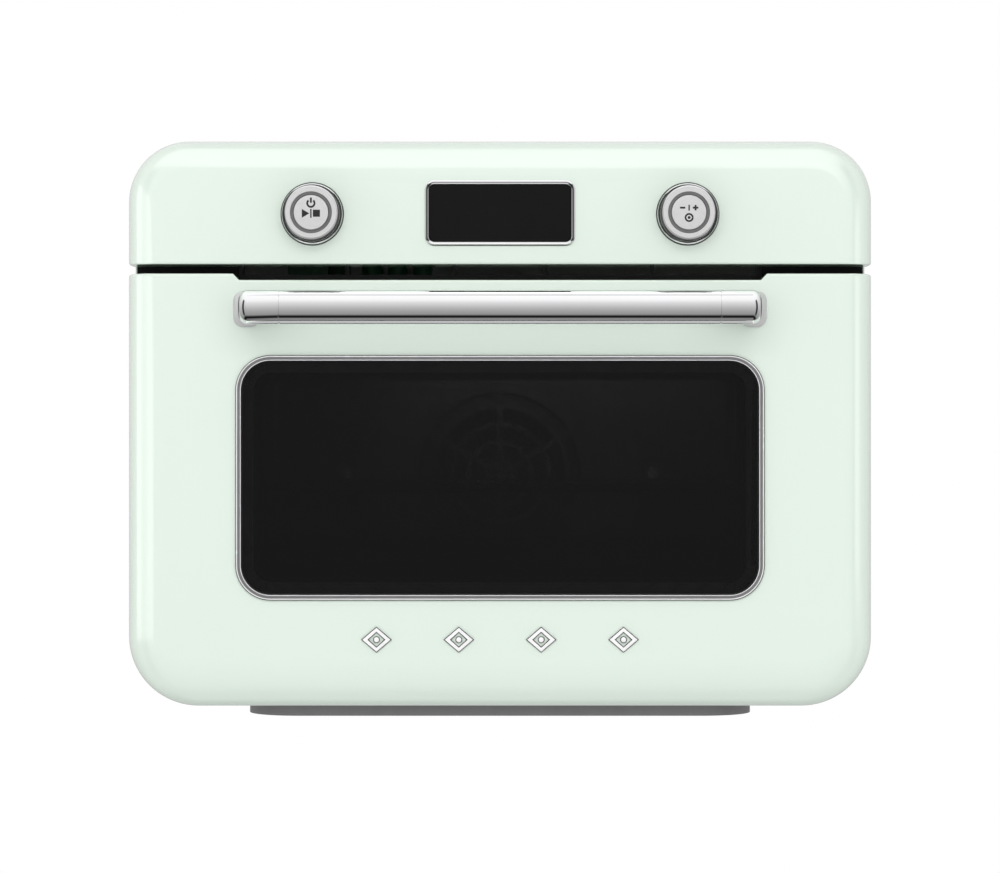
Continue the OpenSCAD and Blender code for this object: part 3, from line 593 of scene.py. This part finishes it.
def make_handle():
    """The bar, and at each end a round-nosed cap with a leg back to the door and an oval foot plate."""
    low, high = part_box("handle_bar")
    r = (high.z - low.z) / 2
    _, axis_y, axis_z = middle_of("handle_bar")
    axis = (axis_y, axis_z)
    seam = 0.35 * MM
    bar = spindle("handle_bar_tube", axis, [
        (low.x, r - seam), (low.x + seam, r), (high.x - seam, r), (high.x, r - seam)])
    piece(bar, "chrome", "door", "bright_chrome", "handle_bar")

    nose = 6 * MM
    foot_w, foot_h, foot_r = 8.5 * MM, 11.7 * MM, 6.2 * MM
    foot_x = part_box("handle_ends")[1].x - foot_w
    cap_end = foot_x + 2.4 * MM
    leg_x = cap_end - 5.8 * MM
    stations = [(high.x, r - seam), (high.x + seam, r), (cap_end - nose, r)]
    stations += [(cap_end - nose + nose * sine, r - nose + nose * cosine) for sine, cosine in quarter(8)[1:]]
    cap = spindle("right_handle_end", axis, stations, sharp=50)
    leg = loft("leg", [plate(leg_x, axis_z, 5.3 * MM, 9.5 * MM, 5.2 * MM, y)
                       for y in (axis_y, FRONT - 2 * MM)])
    foot_edge = [(inset * MM, FRONT - proud * MM)
                 for inset, proud in ((0.9, 2.5), (0.35, 2.3), (0.05, 1.8), (0, 1.2), (0, 0.02))]
    foot = loft("right_handle_foot", [plate(foot_x, axis_z, foot_w - inset, foot_h - inset, foot_r - inset, y)
                                      for inset, y in foot_edge], sharp=50)
    fuse(cap, leg)
    # A near black ring round each cap's nose: painted shadow where the cap meets its leg
    rim, lip = r - nose, 0.3 * MM
    ring = spindle("right_handle_ring", axis, [
        (cap_end - 0.75 * MM, r - nose * 0.5), (cap_end - 0.15 * MM, r - nose * 0.74),
        (cap_end + 0.06 * MM, rim), (cap_end + 0.06 * MM, rim - lip),
        (cap_end - 0.9 * MM, rim - lip), (cap_end - 0.9 * MM, r - nose * 0.5 - 0.2 * MM)], closed=True)
    for bored in (cap, foot):
        cut(bored, prism("bore", circle(leg_x, axis_z, 1.9 * MM, 24), FRONT - 10 * MM, FRONT + 1 * MM))
    for made, key in ((cap, "chrome"), (foot, "foot_plate"), (ring, "edge")):
        smooth(made, 38)
        soften(made, 0)
        other = mirrored(made, made.name.replace("right", "left"))
        piece(made, key, "door", "bright_chrome", "handle_ends")
        piece(other, key, "door", "bright_chrome", "handle_ends")


# ---- Window ----

def frame_ring(name, half_w, low, high, r, sections):
    """Rounded frame whose cross-section is a list of (distance in from the outer edge, y)."""
    rings = []
    for inward, y in sections:
        outline = round_rect(half_w - inward, low + inward, high - inward, r - inward, 14)
        rings.append([(x, y, z) for x, z in outline])
    return loft(name, rings, closed=True, sharp=50)


def make_window():
    """Trim in four strips, each a section of (distance in, depth behind the trim's crest), and two panes."""
    low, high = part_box("window_trim")
    proud = FRONT - 2.35 * MM
    back = FRONT - 0.01 * MM
    half, top, r = high.x, high.z - 0.25 * MM, 23 * MM

    def strip(name, key, slot, sections, *nodes):
        points = [(inward * MM, back if depth is None else proud + depth * MM) for inward, depth in sections]
        piece(frame_ring(name, half, low.z, top, r, points), key, "door", slot, *nodes)

    strip("window_trim_frame", "nickel", "bright_chrome", [
        (0.47, None), (0.47, 0.5), (0.65, 0.12), (0.88, 0), (1.1, 0.1), (1.25, 0.5), (1.3, 1.2), (2.95, 1.2),
        (3.0, 0.6), (3.15, 0.4), (3.35, 0.4), (3.5, 0.6), (3.6, None)], "window_trim")
    # Grey groove strip: painted dark reflection and shade between the two bright beads
    strip("window_trim_groove", "groove", "bright_chrome", [
        (1.32, 1.19), (1.32, 0.6), (2.93, 0.6), (2.93, 1.19)])
    # Outer edge of the trim in near black: a painted shadow line
    strip("window_trim_shadow_line", "edge", "bright_chrome", [
        (0, None), (0, 0.8), (0.2, 0.6), (0.45, 0.55), (0.45, None)])
    strip("window_seal", "black_moulding", "black_moulding", [
        (3.62, None), (3.62, 1.5), (4.7, 1.8), (4.7, None)])

    low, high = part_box("outer_glass")
    pane = prism("outer_pane", round_rect(high.x, low.z, high.z, 18.5 * MM, 14), low.y, high.y)
    piece(soften(pane, 0.4 * MM), "black_glass", "door", "black_glass", "outer_glass")

    low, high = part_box("inner_glass")
    pane = prism("inner_pane", round_rect(high.x, low.z, high.z, 14.3 * MM, 12), low.y, high.y)
    piece(soften(pane, 0.3 * MM), "inner_glass", "door", "inner_pane", "inner_glass")


def make_ornaments():
    """Four chrome lozenges, each a bevelled frame with a domed stud, with a near black backing and rim that
    paint their shadow outline.
    """
    low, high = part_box("door_ornaments")
    middle = (low.z + high.z) / 2
    half_h, half_w = (high.z - low.z) / 2, 10 * MM
    step = (high.x - half_w) / 1.5
    edge, band, back = 0.5 * MM, 3.1 * MM, FRONT - 0.01 * MM
    shoulder = low.y + 0.6 * MM

    def lozenge(x, shrink):
        w, h = half_w - shrink * 1.6, half_h - shrink * 1.25
        return [(x + w * a, middle + h * b) for a, b in ((1, 0), (0, 1), (-1, 0), (0, -1))]

    def frame_of(x, shrink_out, shrink_in, y):
        outer, inner = lozenge(x, shrink_out), lozenge(x, shrink_in)
        rings = [[(a, depth, b) for a, b in outline]
                 for outline, depth in ((outer, back), (outer, y), (inner, y), (inner, back))]
        return loft("lozenge", rings, closed=True)

    bright, dark = [], []
    for i in range(4):
        x = (i - 1.5) * step
        # Near black backing and stud rim: painted shadow outline round each lozenge and stud
        dark.append(frame_of(x, 0, band, shoulder))
        bright.append(soften(frame_of(x, edge, band - edge, low.y), 0.2 * MM))
        rim = [(2.2 * MM, back), (2.2 * MM, shoulder), (0.3 * MM, shoulder)]
        dark.append(disc("stud_shadow_rim", rim, x, middle, 32))
        dome = [(1.75 * MM, shoulder), (1.7 * MM, low.y + 0.3 * MM), (1.3 * MM, low.y + 0.08 * MM),
                (0.7 * MM, low.y + 0.01 * MM), (0.2 * MM, low.y)]
        bright.append(disc("stud", dome, x, middle, 32))
    piece(join("door_lozenges", bright), "nickel", "door", "bright_chrome", "door_ornaments")
    piece(join("door_lozenge_shadow_outlines", dark), "edge", "door", "bright_chrome")


# ---- Controls ----

def make_control(side, symbol):
    """One control: base ring, turning ring with its inlay, and the push button with its symbols.

    Profiles are in millimetres: (radius, distance in front of the fascia).
    """
    x, _, z = JOINTS[side + "_knob_turn"]["pos_m"]

    def profile(points):
        return [(r * MM, FRONT - d * MM) for r, d in points]

    def turned(name, points):
        return lathe(name, profile(points), x, z, 128, 30)

    base = turned(side + "_knob_collar", [
        (18.3, 0.01), (20.0, 0.01), (20.0, 1.6), (19.9, 2.3), (19.6, 2.8), (19.2, 3.0), (18.8, 2.9),
        (18.5, 2.5), (18.3, 1.8)])
    piece(base, "chrome", "cabinet", "bright_chrome", *(["knob_bases"] if side == "left" else []))
    # Near black ring round the collar's foot: a painted shadow outline
    dark_outline = turned(side + "_knob_seal", [
        (20.02, 0.01), (20.75, 0.01), (20.75, 0.5), (20.6, 0.8), (20.02, 0.9)])
    piece(dark_outline, "edge", "cabinet", "black_moulding")

    face = 16.0
    waist = face - 0.42
    sunk = face - 2.5
    ring = turned(side + "_knob_rim", [
        (3.2, -8), (5.8, -8), (5.8, 5), (16.4, 5), (16.4, waist), (16.5, waist), (16.5, face), (13.7, face),
        (13.6, face - 0.12), (13.6, sunk), (11.6, sunk), (11.6, face - 6), (3.2, face - 6)])
    piece(ring, "satin", side + "_knob", "satin_steel", side + "_knob_ring")
    bevel = turned(side + "_knob_bevel", [
        (16.45, 5), (17.3, 5), (17.6, waist - 0.1), (17.58, waist + 0.02), (16.75, face - 0.02),
        (16.52, face)])
    piece(bevel, "chrome", side + "_knob", "satin_steel")
    # The side wall is near black: painted shade and dark reflection round the knob's face
    sleeve = turned(side + "_knob_sleeve", [
        (17.32, 0.7), (17.6, 0.7), (17.72, 0.9), (17.7, waist - 0.5), (17.6, waist - 0.12), (17.32, 5.2)])
    piece(sleeve, "sleeve", side + "_knob", "black_moulding")
    inlay = turned(side + "_knob_inlay", [
        (11.62, face - 2.4), (13.58, face - 2.4), (13.58, face - 0.55), (13.45, face - 0.4),
        (11.75, face - 0.4), (11.62, face - 0.55)])
    piece(inlay, "inlay", side + "_knob", "satin_steel")

    button = disc(side + "_button_cap", profile([
        (2.9, -8.8), (2.9, face - 3.6), (11.25, face - 3.6), (11.3, face - 3.5), (11.3, face - 0.45),
        (11.2, face - 0.15), (10.9, face - 0.03), (10.6, face), (5.0, face)]), x, z, 128, 30)
    piece(button, "satin", side + "_push", "satin_steel", side + "_button")
    top = FRONT - face * MM
    marks = []
    for outline in symbol:
        placed = [(x + a * MM, z + b * MM) for a, b in outline]
        marks.append(prism("mark", placed, top - 0.04 * MM, top + 0.02 * MM))
    piece(join(side + "_button_marks", marks), "ink", side + "_push", "satin_steel")


def power_symbols():
    """Power sign over a play triangle and a stop square, in millimetres about the button's middle."""
    outer, inner, cz = 3.0, 1.75, 5.9
    ring = arc(0, cz, outer, outer, 130, 410, 28) + arc(0, cz, inner, inner, 410, 130, 28)
    stem = rect(-0.62, cz + 0.3, 0.62, cz + 3.7)
    play = [(-5.9, -3.6), (-1.1, -0.7), (-5.9, 2.2)]
    bar = rect(-0.45, -3.6, 0.45, 2.2)
    stop = rect(1.3, -2.9, 5.9, 1.7)
    return [ring, stem, play, bar, stop]


def setting_symbols():
    """Minus, bar and plus over a ring and dot, in millimetres about the button's middle."""
    top = 3.0
    minus = rect(-5.9, top - 0.6, -2.5, top + 0.6)
    bar = rect(-0.45, top - 1.9, 0.45, top + 1.9)
    a, b, cx = 0.6, 1.8, 4.2
    plus = [(cx + x, top + z) for x, z in (
        (-a, -b), (a, -b), (a, -a), (b, -a), (b, a), (a, a), (a, b), (-a, b), (-a, a), (-b, a), (-b, -a),
        (-a, -a))]
    cz, outer, inner = -3.4, 2.9, 1.75
    ring = arc(0, cz, outer, outer, 0, 358, 40) + arc(0, cz, inner, inner, 358, 0, 40)
    dot = circle(0, cz, 0.95, 20)
    return [minus, bar, plus, ring, dot]


def make_display():
    """Chrome frame with a raised ridge, and its dark pane."""
    low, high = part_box("display_bezel")
    proud, back, band = low.y, FRONT - 0.01 * MM, 2.3 * MM
    sections = [(0, back), (0, proud + 0.75 * MM), (0.85 * MM, proud + 0.14 * MM), (1.1 * MM, proud),
                (1.35 * MM, proud + 0.14 * MM), (band, proud + 0.82 * MM), (band, back)]
    bezel = frame_ring("display_frame", high.x, low.z, high.z, 6.2 * MM, sections)
    piece(bezel, "chrome", "cabinet", "bright_chrome", "display_bezel")
    low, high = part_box("display_glass")
    gap = 0.05 * MM
    outline = round_rect(high.x - gap, low.z + gap, high.z - gap, 3.8 * MM, 8)
    glass = prism("display_pane", outline, low.y, FRONT + 0.2 * MM)
    piece(soften(glass, 0.25 * MM), "display_glass", "cabinet", "black_glass", "display_glass")


# ---- Base, back and inside ----

def make_plinth():
    """Base moulding with a soft lower edge, a well for each foot pad and a screw hole above it."""
    low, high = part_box("plinth")
    bottom = 0.05 * MM
    middle = (low.y + high.y) / 2
    half_w, half_d = high.x, (high.y - low.y) / 2
    corner, edge = 35 * MM, 0.3 * MM
    sections = [(edge * (1 - sine), bottom + edge * (1 - cosine)) for sine, cosine in quarter(6)]
    sections.append((0, high.z))
    rings = []
    for inset, z in sections:
        plan = round_rect(half_w - inset, inset - half_d, half_d - inset, corner - inset, 14)
        rings.append([(a, middle + b, z) for a, b in plan])
    body = loft("plinth_moulding", rings, sharp=40)
    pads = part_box("foot_pads")
    pad_r = 15 * MM
    cutters = []
    for x in (pads[0].x + pad_r, pads[1].x - pad_r):
        for y in (pads[0].y + pad_r, pads[1].y - pad_r):
            cutters.append(upright_hole(x, y, pad_r + 0.3 * MM, -5 * MM, 3.2 * MM, 48))
            cutters.append(upright_hole(x, y, 2.3 * MM, 2 * MM, 20 * MM, 24))
    cut(body, *cutters)
    soften(body, 0)
    piece(body, "moulding", "cabinet", "grey_moulding", "plinth")


def make_back_screws():
    """Pan-head screws with a cross recess, at the CAD screws' places."""
    low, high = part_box("rear_cover_screws")
    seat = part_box("rear_cover")[1].y
    shank_r, head_r = 1.9 * MM, 4.0 * MM
    profile = [(shank_r, low.y), (shank_r, seat), (head_r, seat), (head_r, seat + 0.7 * MM),
               (3.7 * MM, seat + 1.3 * MM), (2.9 * MM, seat + 1.8 * MM), (1.6 * MM, high.y),
               (0.5 * MM, high.y)]
    long, short = 2.0 * MM, 0.35 * MM
    screws = frame["nodes"]["rear_cover_screws"].data.vertices
    spans = []
    for x, z in sorted({(round(v.co.x, 4), round(v.co.z, 4)) for v in screws}):
        near = [span for span in spans if math.hypot(span[0] - x, span[1] - z) < 12 * MM]
        if near:
            x0, z0, x1, z1 = near[0]
            near[0][:] = min(x0, x), min(z0, z), max(x1, x), max(z1, z)
        else:
            spans.append([x, z, x, z])
    heads = []
    for x0, z0, x1, z1 in spans:
        x, z = (x0 + x1) / 2, (z0 + z1) / 2
        head = disc("screw", profile, x, z, 40)
        slots = [prism("slot", rect(x - a, z - b, x + a, z + b), seat + 1 * MM, seat + 4 * MM)
                 for a, b in ((long, short), (short, long))]
        heads.append(cut(head, *slots))
    piece(join("back_screws", heads), "screw", "cabinet", "fasteners", "rear_cover_screws")


def make_cavity():
    """Pressed cavity with rounded corners, open at the front, with the CAD's openings."""
    low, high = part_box("cavity_liner")
    back = high.y
    wall, r, lip = 0.8 * MM, 12 * MM, 4 * MM

    def loop(inset, y, radius):
        outline = round_rect(high.x - inset, low.z + inset, high.z - inset, radius, 8)
        return [(x, y, z) for x, z in outline]

    inner = [loop(wall, low.y, 8 * MM), loop(wall, low.y + lip, 9 * MM)]
    outer = [loop(0.2 * MM, low.y, 8 * MM), loop(0, low.y + lip, 10 * MM)]
    for sine, cosine in quarter(6):
        draw_in = r * (1 - cosine) * 0.5
        inner.append(loop(wall + draw_in, back - wall - (r - r * sine), r - wall))
        outer.append(loop(draw_in, back - r + r * sine, r))
    shell = loft("cavity_shell", inner[::-1] + outer, sharp=40)

    def back_hole(x, z, radius, steps=24):
        return prism("cutter", circle(x, z, radius, steps), back - 6 * MM, back + 6 * MM)

    shaft_r, screw_r, probe_r, bush_r, lens_r = 9 * MM, 3.4 * MM, 2.6 * MM, 7.2 * MM, 18.4 * MM
    outside = 0.3
    fan_x, _, fan_z = JOINTS["fan_spin"]["pos_m"]
    cutters = [back_hole(fan_x, fan_z, shaft_r, 32)]
    for screw_z in (fan_z - 62 * MM, fan_z + 62 * MM):
        cutters.append(back_hole(fan_x, screw_z, screw_r))
    probe = middle_of("temperature_probe")
    cutters.append(back_hole(probe.x, probe.z, probe_r))
    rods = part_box("heater_rods")
    rod_r = 3.6 * MM
    for y in (rods[0].y + rod_r, rods[1].y - rod_r):
        for z in (rods[0].z + rod_r, rods[1].z - rod_r):
            cutters.append(side_hole(y, z, bush_r, -outside, outside))
    lens = middle_of("lamp_lens")
    cutters.append(side_hole(lens.y, lens.z, lens_r, 0.1, outside))
    cut(shell, *cutters)
    soften(shell, 0)
    piece(shell, "cavity", "cabinet", "cavity_enamel", "cavity_liner")


def make_rack():
    """Wire rack: a bent rim, cross bars below and a row of thin wires."""
    low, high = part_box("wire_rack")
    r = 3 * MM
    z = high.z - r
    half, y0, y1 = high.x - r, low.y + r, high.y - r
    plan = round_rect(half, y0, y1, 14 * MM, 10)
    parts = [tube("rim", [(a, b, z) for a, b in plan], r, 20, closed=True)]
    count = 15
    pitch = 2 * half / (count + 1)
    wire_z, bar_z, bar_inset = z + 0.6 * MM, z - 1.2 * MM, 70 * MM
    for i in range(1, count + 1):
        x = i * pitch - half
        parts.append(tube("wire", [(x, y0, wire_z), (x, y1, wire_z)], 1.5 * MM, 12))
    for y in (y0 + bar_inset, y1 - bar_inset):
        parts.append(tube("bar", [(-half, y, bar_z), (half, y, bar_z)], 2 * MM, 14))
    piece(join("rack_wires", parts), "wire", "rack", "rack_chrome", "wire_rack")


def make_tray(name, body, key, slot, r, rim, wall, lip):
    """Pressed tray with rounded corners, a soft floor edge and a rolled rim."""
    low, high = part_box(name)
    middle = (low.y + high.y) / 2
    half_x, half_y = high.x - rim, (high.y - low.y) / 2 - rim

    def loop(grow, z):
        plan = round_rect(half_x + grow, -half_y - grow, half_y + grow, r + grow, 10)
        return [(a, middle + b, z) for a, b in plan]

    floor_r = 4 * MM
    bend = quarter(5)
    rings = [loop(-floor_r * (1 - sine), low.z + floor_r * (1 - cosine)) for sine, cosine in bend]
    rings += [loop(0, high.z - wall), loop(rim - lip, high.z - wall), loop(rim, high.z - wall * 0.8),
              loop(rim, high.z - wall * 0.2), loop(rim - lip, high.z), loop(0, high.z),
              loop(-wall, high.z - 0.6 * MM)]
    inner_r = floor_r - wall
    for sine, cosine in reversed(bend):
        rings.append(loop(-wall - inner_r * (1 - sine), low.z + wall + inner_r * (1 - cosine)))
    piece(loft(name + "_pressing", rings, sharp=50), key, body, slot, name)


def make_inside():
    """Cavity, rack and the two trays."""
    make_cavity()
    make_rack()
    make_tray("baking_tray", "tray", "tray", "tray_enamel", 16 * MM, 5 * MM, 1.2 * MM, 0.5 * MM)
    make_tray("crumb_tray", "crumbs", "zinc", "galvanised", 8 * MM, 3 * MM, 0.9 * MM, 0.4 * MM)


CAD_LOOKS = {
    "rear_cover": "grey_back", "base_pan": "zinc", "heat_shield": "zinc", "motor_bracket": "zinc",
    "hinge_brackets": "zinc", "hinge_arms": "zinc", "glass_retainer": "zinc", "rear_bumpers": "rubber",
    "foot_pads": "rubber", "door_gasket": "rubber", "front_frame": "black", "hinge_trough": "black",
    "vent_grille": "black_moulding", "display_module": "moulding", "control_board": "board",
    "power_board": "board", "encoders": "moulding", "terminal_block": "ceramic", "cord_gland": "moulding",
    "cavity_insulation": "wool", "rack_supports": "wire", "heater_rods": "heater", "heater_bushes": "ceramic",
    "ring_heater": "heater", "fan_cover": "cover", "fan_cover_screws": "screw", "fan_motor": "motor",
    "oven_lamp": "ceramic", "lamp_lens": "lens", "temperature_probe": "screw", "thermal_cutout": "ceramic",
    "door_liner": "cavity", "handle_screws": "screw", "hinge_pins": "screw", "hinge_springs": "screw",
    "convection_fan": "aluminium", "cooling_fan": "moulding", "motor_shaft": "screw",
}

make_fascia()
make_door()
make_wrap()
make_handle()
make_window()
make_ornaments()
make_control("left", power_symbols())
make_control("right", setting_symbols())
make_display()
make_plinth()
make_back_screws()
make_inside()
for name, key in CAD_LOOKS.items():
    paint(frame["nodes"][name], key)


# ---- Stage, light and camera ----

EYE_DISTANCE = 2.150
EYE_HEIGHT = 0.1872
PICTURE_WIDTH = 0.6547
AMBIENT = 0.53
FLOOR_GLOW = 0.85
KEY_LEVEL = 1.72


def math_node(tree, operation, a, b):
    """The result socket of one sum."""
    made = node(tree, "ShaderNodeMath", i0=a, i1=b)
    made.operation = operation
    return made.outputs[0]


def step_up(tree, source, start, end):
    """Rises smoothly from 0 to 1 between start and end; swap them to fall instead."""
    made = node(tree, "ShaderNodeMapRange", Value=source, From_Min=start, From_Max=end)
    made.interpolation_type = "SMOOTHSTEP"
    return made.outputs["Result"]


def curve(tree, source, stops):
    """Piecewise-linear value of a 0..1 source."""
    return add_ramp(tree, source, [(place, (v, v, v)) for place, v in stops])


def product(tree, first, *others):
    """All the sockets multiplied."""
    for other in others:
        first = math_node(tree, "MULTIPLY", first, other)
    return first


def mix_shader(tree, choice, when_off, when_on):
    """Mixes two shader nodes by a 0..1 socket."""
    return node(tree, "ShaderNodeMixShader", i0=choice, i1=when_off.outputs[0], i2=when_on.outputs[0])


def make_floor():
    """Pale floor: white to the camera, a soft even glow for everything else."""
    size = 12
    corners = [(-size, -size, 0), (size, -size, 0), (size, size, 0), (-size, size, 0)]
    floor = make_object("stage_floor", corners, [(0, 1, 2, 3)])
    floor.location.z = -0.2 * MM
    mat = bpy.data.materials.new("stage_floor")
    mat.use_nodes = True
    tree = mat.node_tree
    tree.nodes.clear()
    path = node(tree, "ShaderNodeLightPath")
    dull = node(tree, "ShaderNodeEmission", Strength=FLOOR_GLOW)
    glow = node(tree, "ShaderNodeEmission", Strength=1.0)
    mix = mix_shader(tree, path.outputs["Is Camera Ray"], dull, glow)
    node(tree, "ShaderNodeOutputMaterial", Surface=mix.outputs[0])
    floor.data.materials.append(mat)
    floor.visible_glossy = False


# Brightness of the studio by height of view, from straight down to straight up (sine of the elevation)
STUDIO = [(-1.0, 0.30), (-0.992, 0.24), (-0.98, 0.10), (-0.961, 0.01), (-0.914, 0.01), (-0.88, 0.05),
          (-0.848, 0.13), (-0.80, 0.27), (-0.77, 0.33), (-0.63, 0.37), (-0.31, 0.47), (0.0, 0.59),
          (0.48, 0.83), (0.77, 1.08), (0.985, 1.15), (1.0, 0.80)]


def side_flags(tree, view):
    """1 inside two upright dark panels in front of the object, to its left and right; 0 elsewhere."""
    x2 = math_node(tree, "MULTIPLY", view["X"], view["X"])
    y2 = math_node(tree, "MULTIPLY", view["Y"], view["Y"])
    aside = math_node(tree, "DIVIDE", x2, math_node(tree, "ADD", math_node(tree, "ADD", x2, y2), 1e-6))
    return product(tree, step_up(tree, aside, 0.40, 0.47), step_up(tree, aside, 0.88, 0.81),
                   step_up(tree, view["Y"], 0.0, -0.1), step_up(tree, view["Z"], 0.72, 0.60),
                   step_up(tree, view["Z"], -0.85, -0.7))


def make_world():
    """Studio surround: white behind the object, plain for soft light, graded for reflections."""
    world = bpy.data.worlds.new("studio")
    scene.world = world
    world.use_nodes = True
    tree = world.node_tree
    tree.nodes.clear()
    coord = node(tree, "ShaderNodeTexCoord")
    split = node(tree, "ShaderNodeSeparateXYZ", Vector=coord.outputs["Generated"])
    height = node(tree, "ShaderNodeMapRange", Value=split.outputs["Z"], From_Min=-1.0)
    graded = curve(tree, height.outputs["Result"], [((s + 1) / 2, v) for s, v in STUDIO])
    shadow = add_range(tree, side_flags(tree, split.outputs), 1.0, 0.08)
    dome = node(tree, "ShaderNodeBackground", Color=graded, Strength=shadow)
    plain = node(tree, "ShaderNodeBackground", Color=(AMBIENT, AMBIENT, AMBIENT, 1))
    white = node(tree, "ShaderNodeBackground", Color=(1, 1, 1, 1))
    path = node(tree, "ShaderNodeLightPath")
    soft = mix_shader(tree, path.outputs["Is Diffuse Ray"], dome, plain)
    mix = mix_shader(tree, path.outputs["Is Camera Ray"], soft, white)
    node(tree, "ShaderNodeOutputWorld", Surface=mix.outputs[0])


SIDEWAYS, UPWARDS = (1, 0, 0), (0, 0, 1)
TO_VIEWER, FROM_VIEWER = (0, -1, 0), (0, 1, 0)


def softbox(name, middle, across, up, size, level, receivers=None, diffuse=True, glossy=True, mask=None):
    """Area light facing away from across x up; mask(tree, u, v) shapes it, u and v being 0..1."""
    data = bpy.data.lights.new(name, "AREA")
    data.shape = "RECTANGLE"
    data.size, data.size_y = size
    data.energy = level * size[0] * size[1] * math.pi
    light = bpy.data.objects.new(name, data)
    scene.collection.objects.link(light)
    x, y = Vector(across).normalized(), Vector(up).normalized()
    turn = Matrix((x, y, x.cross(y))).transposed()
    light.matrix_world = Matrix.Translation(middle) @ turn.to_4x4()
    light.visible_camera = False
    light.visible_diffuse = diffuse
    light.visible_glossy = glossy
    light.visible_transmission = False
    if receivers:
        light.light_linking.receiver_collection = receivers
    if mask:
        data.use_nodes = True
        tree = data.node_tree
        place = node(tree, "ShaderNodeNewGeometry")
        split = node(tree, "ShaderNodeSeparateXYZ", Vector=place.outputs["Parametric"])
        shape = mask(tree, split.outputs["X"], split.outputs["Y"])
        tree.links.new(shape, tree.nodes["Emission"].inputs["Strength"])
    return light


def group(name, pieces):
    """A collection used only to say which pieces a light falls on."""
    made = bpy.data.collections.new(name)
    for one in pieces:
        made.objects.link(bpy.data.objects[one])
    return made


def top_mask(tree, u, v):
    """Band light with a mitred left end and a soft right end; v runs from the front to overhead."""
    left = curve(tree, v, [(0.0, 0.44), (0.51, 0.30), (0.73, 0.08), (1.0, 0.36)])
    start = math_node(tree, "SUBTRACT", u, left)
    return product(tree, step_up(tree, start, -0.004, 0.010), step_up(tree, u, 0.86, 0.66),
                   curve(tree, v, [(0.0, 0.80), (0.6, 0.92), (1.0, 1.05)]))


def left_mask(tree, u, v):
    """Side light, from beside the object (u 0) to the viewer, with a sloping top and a soft lower end."""
    top = math_node(tree, "SUBTRACT", v, curve(tree, u, [(0.0, 0.93), (1.0, 0.60)]))
    low = math_node(tree, "SUBTRACT", v, curve(tree, u, [(0.0, 0.36), (1.0, 0.24)]))
    return product(tree, step_up(tree, top, 0.015, -0.01), step_up(tree, low, -0.05, 0.06),
                   curve(tree, u, [(0.0, 1.15), (0.08, 1.15), (0.14, 1.0), (1.0, 0.95)]))


def right_mask(tree, u, v):
    """Smaller side light, soft at every edge."""
    return product(tree, step_up(tree, u, 0.0, 0.35), step_up(tree, u, 1.0, 0.45),
                   step_up(tree, v, 0.0, 0.25), step_up(tree, v, 1.0, 0.92))


def tilted(degrees):
    """Up direction of a light that leans back by an angle from facing straight down."""
    lean = math.radians(degrees)
    return (0, math.sin(lean), math.cos(lean))


def make_soft_lights():
    """Broad diffuse light from the front, high front and both sides."""
    no_shadow = group("pieces_without_key_shadow", ("handle_bar_tube",))
    for item in no_shadow.collection_objects:
        item.light_linking.link_state = "EXCLUDE"
    key = softbox("key_light", (0, -2.7, 0.70), SIDEWAYS, tilted(11), (3.4, 1.5), KEY_LEVEL, glossy=False)
    key.light_linking.blocker_collection = no_shadow
    softbox("high_key_light", (0, -2.81, 1.72), SIDEWAYS, tilted(29), (2.4, 0.5), 4.8, glossy=False)
    softbox("left_fill", (-2.2, -0.5, 0.5), TO_VIEWER, UPWARDS, (1.4, 1.6), 1.3, glossy=False)
    softbox("right_fill", (2.2, -0.5, 0.5), FROM_VIEWER, UPWARDS, (1.4, 1.6), 0.5, glossy=False)


def make_reflected_lights():
    """Panels seen only as reflections: three in the enamel and two in the handle."""
    enamel = group("enamel_pieces", ("fascia_shell", "door_shell", "cabinet_shell"))
    high, low = Vector((0, -0.03, 1.865)), Vector((0, -3.15, 0.80))
    slope = high - low
    softbox("top_softbox", (high + low) / 2, SIDEWAYS, slope, (4.2, slope.length), 1.2, enamel,
            diffuse=False, mask=top_mask)
    softbox("left_softbox", (-1.445, -2.14, 0.15), TO_VIEWER, UPWARDS, (3.98, 1.5), 1.28, enamel,
            diffuse=False, mask=left_mask)
    softbox("right_softbox", (1.445, -0.83, 0.20), FROM_VIEWER, UPWARDS, (1.0, 0.52), 1.6, enamel,
            diffuse=False, mask=right_mask)
    bar = group("handle_pieces", ("handle_bar_tube", "right_handle_end", "left_handle_end"))
    softbox("bar_strip", (0, FRONT - 14.5 * MM, 0.345), SIDEWAYS, FROM_VIEWER, (0.31, 0.018), 1.3, bar,
            diffuse=False)
    softbox("under_bar_strip", (0, FRONT - 12 * MM, 0.225), SIDEWAYS, TO_VIEWER, (0.345, 0.032), 0.60, bar,
            diffuse=False)


def make_cavity_light():
    """A lamp behind the top of the door that shows the fan cover through the glass."""
    inside = group("inside_pieces", ("cavity_shell", "fan_cover", "fan_cover_screws"))
    softbox("cavity_light", (0.05, -0.12, 0.235), SIDEWAYS, tilted(12), (0.28, 0.04), 10.0, inside)


def make_camera():
    """A level camera square on to the front, as wide as the picture at the door's face."""
    data = bpy.data.cameras.new("camera")
    data.sensor_width = 36
    data.sensor_fit = "HORIZONTAL"
    data.lens = data.sensor_width * EYE_DISTANCE / PICTURE_WIDTH
    data.clip_end = 60
    camera = bpy.data.objects.new("camera", data)
    scene.collection.objects.link(camera)
    camera.location = (0, FRONT - EYE_DISTANCE, EYE_HEIGHT)
    camera.rotation_euler = (math.pi / 2, 0, 0)
    scene.camera = camera


make_floor()
make_world()
make_soft_lights()
make_reflected_lights()
make_cavity_light()
make_camera()
scene.view_settings.view_transform = "Standard"
scene.view_settings.look = "None"
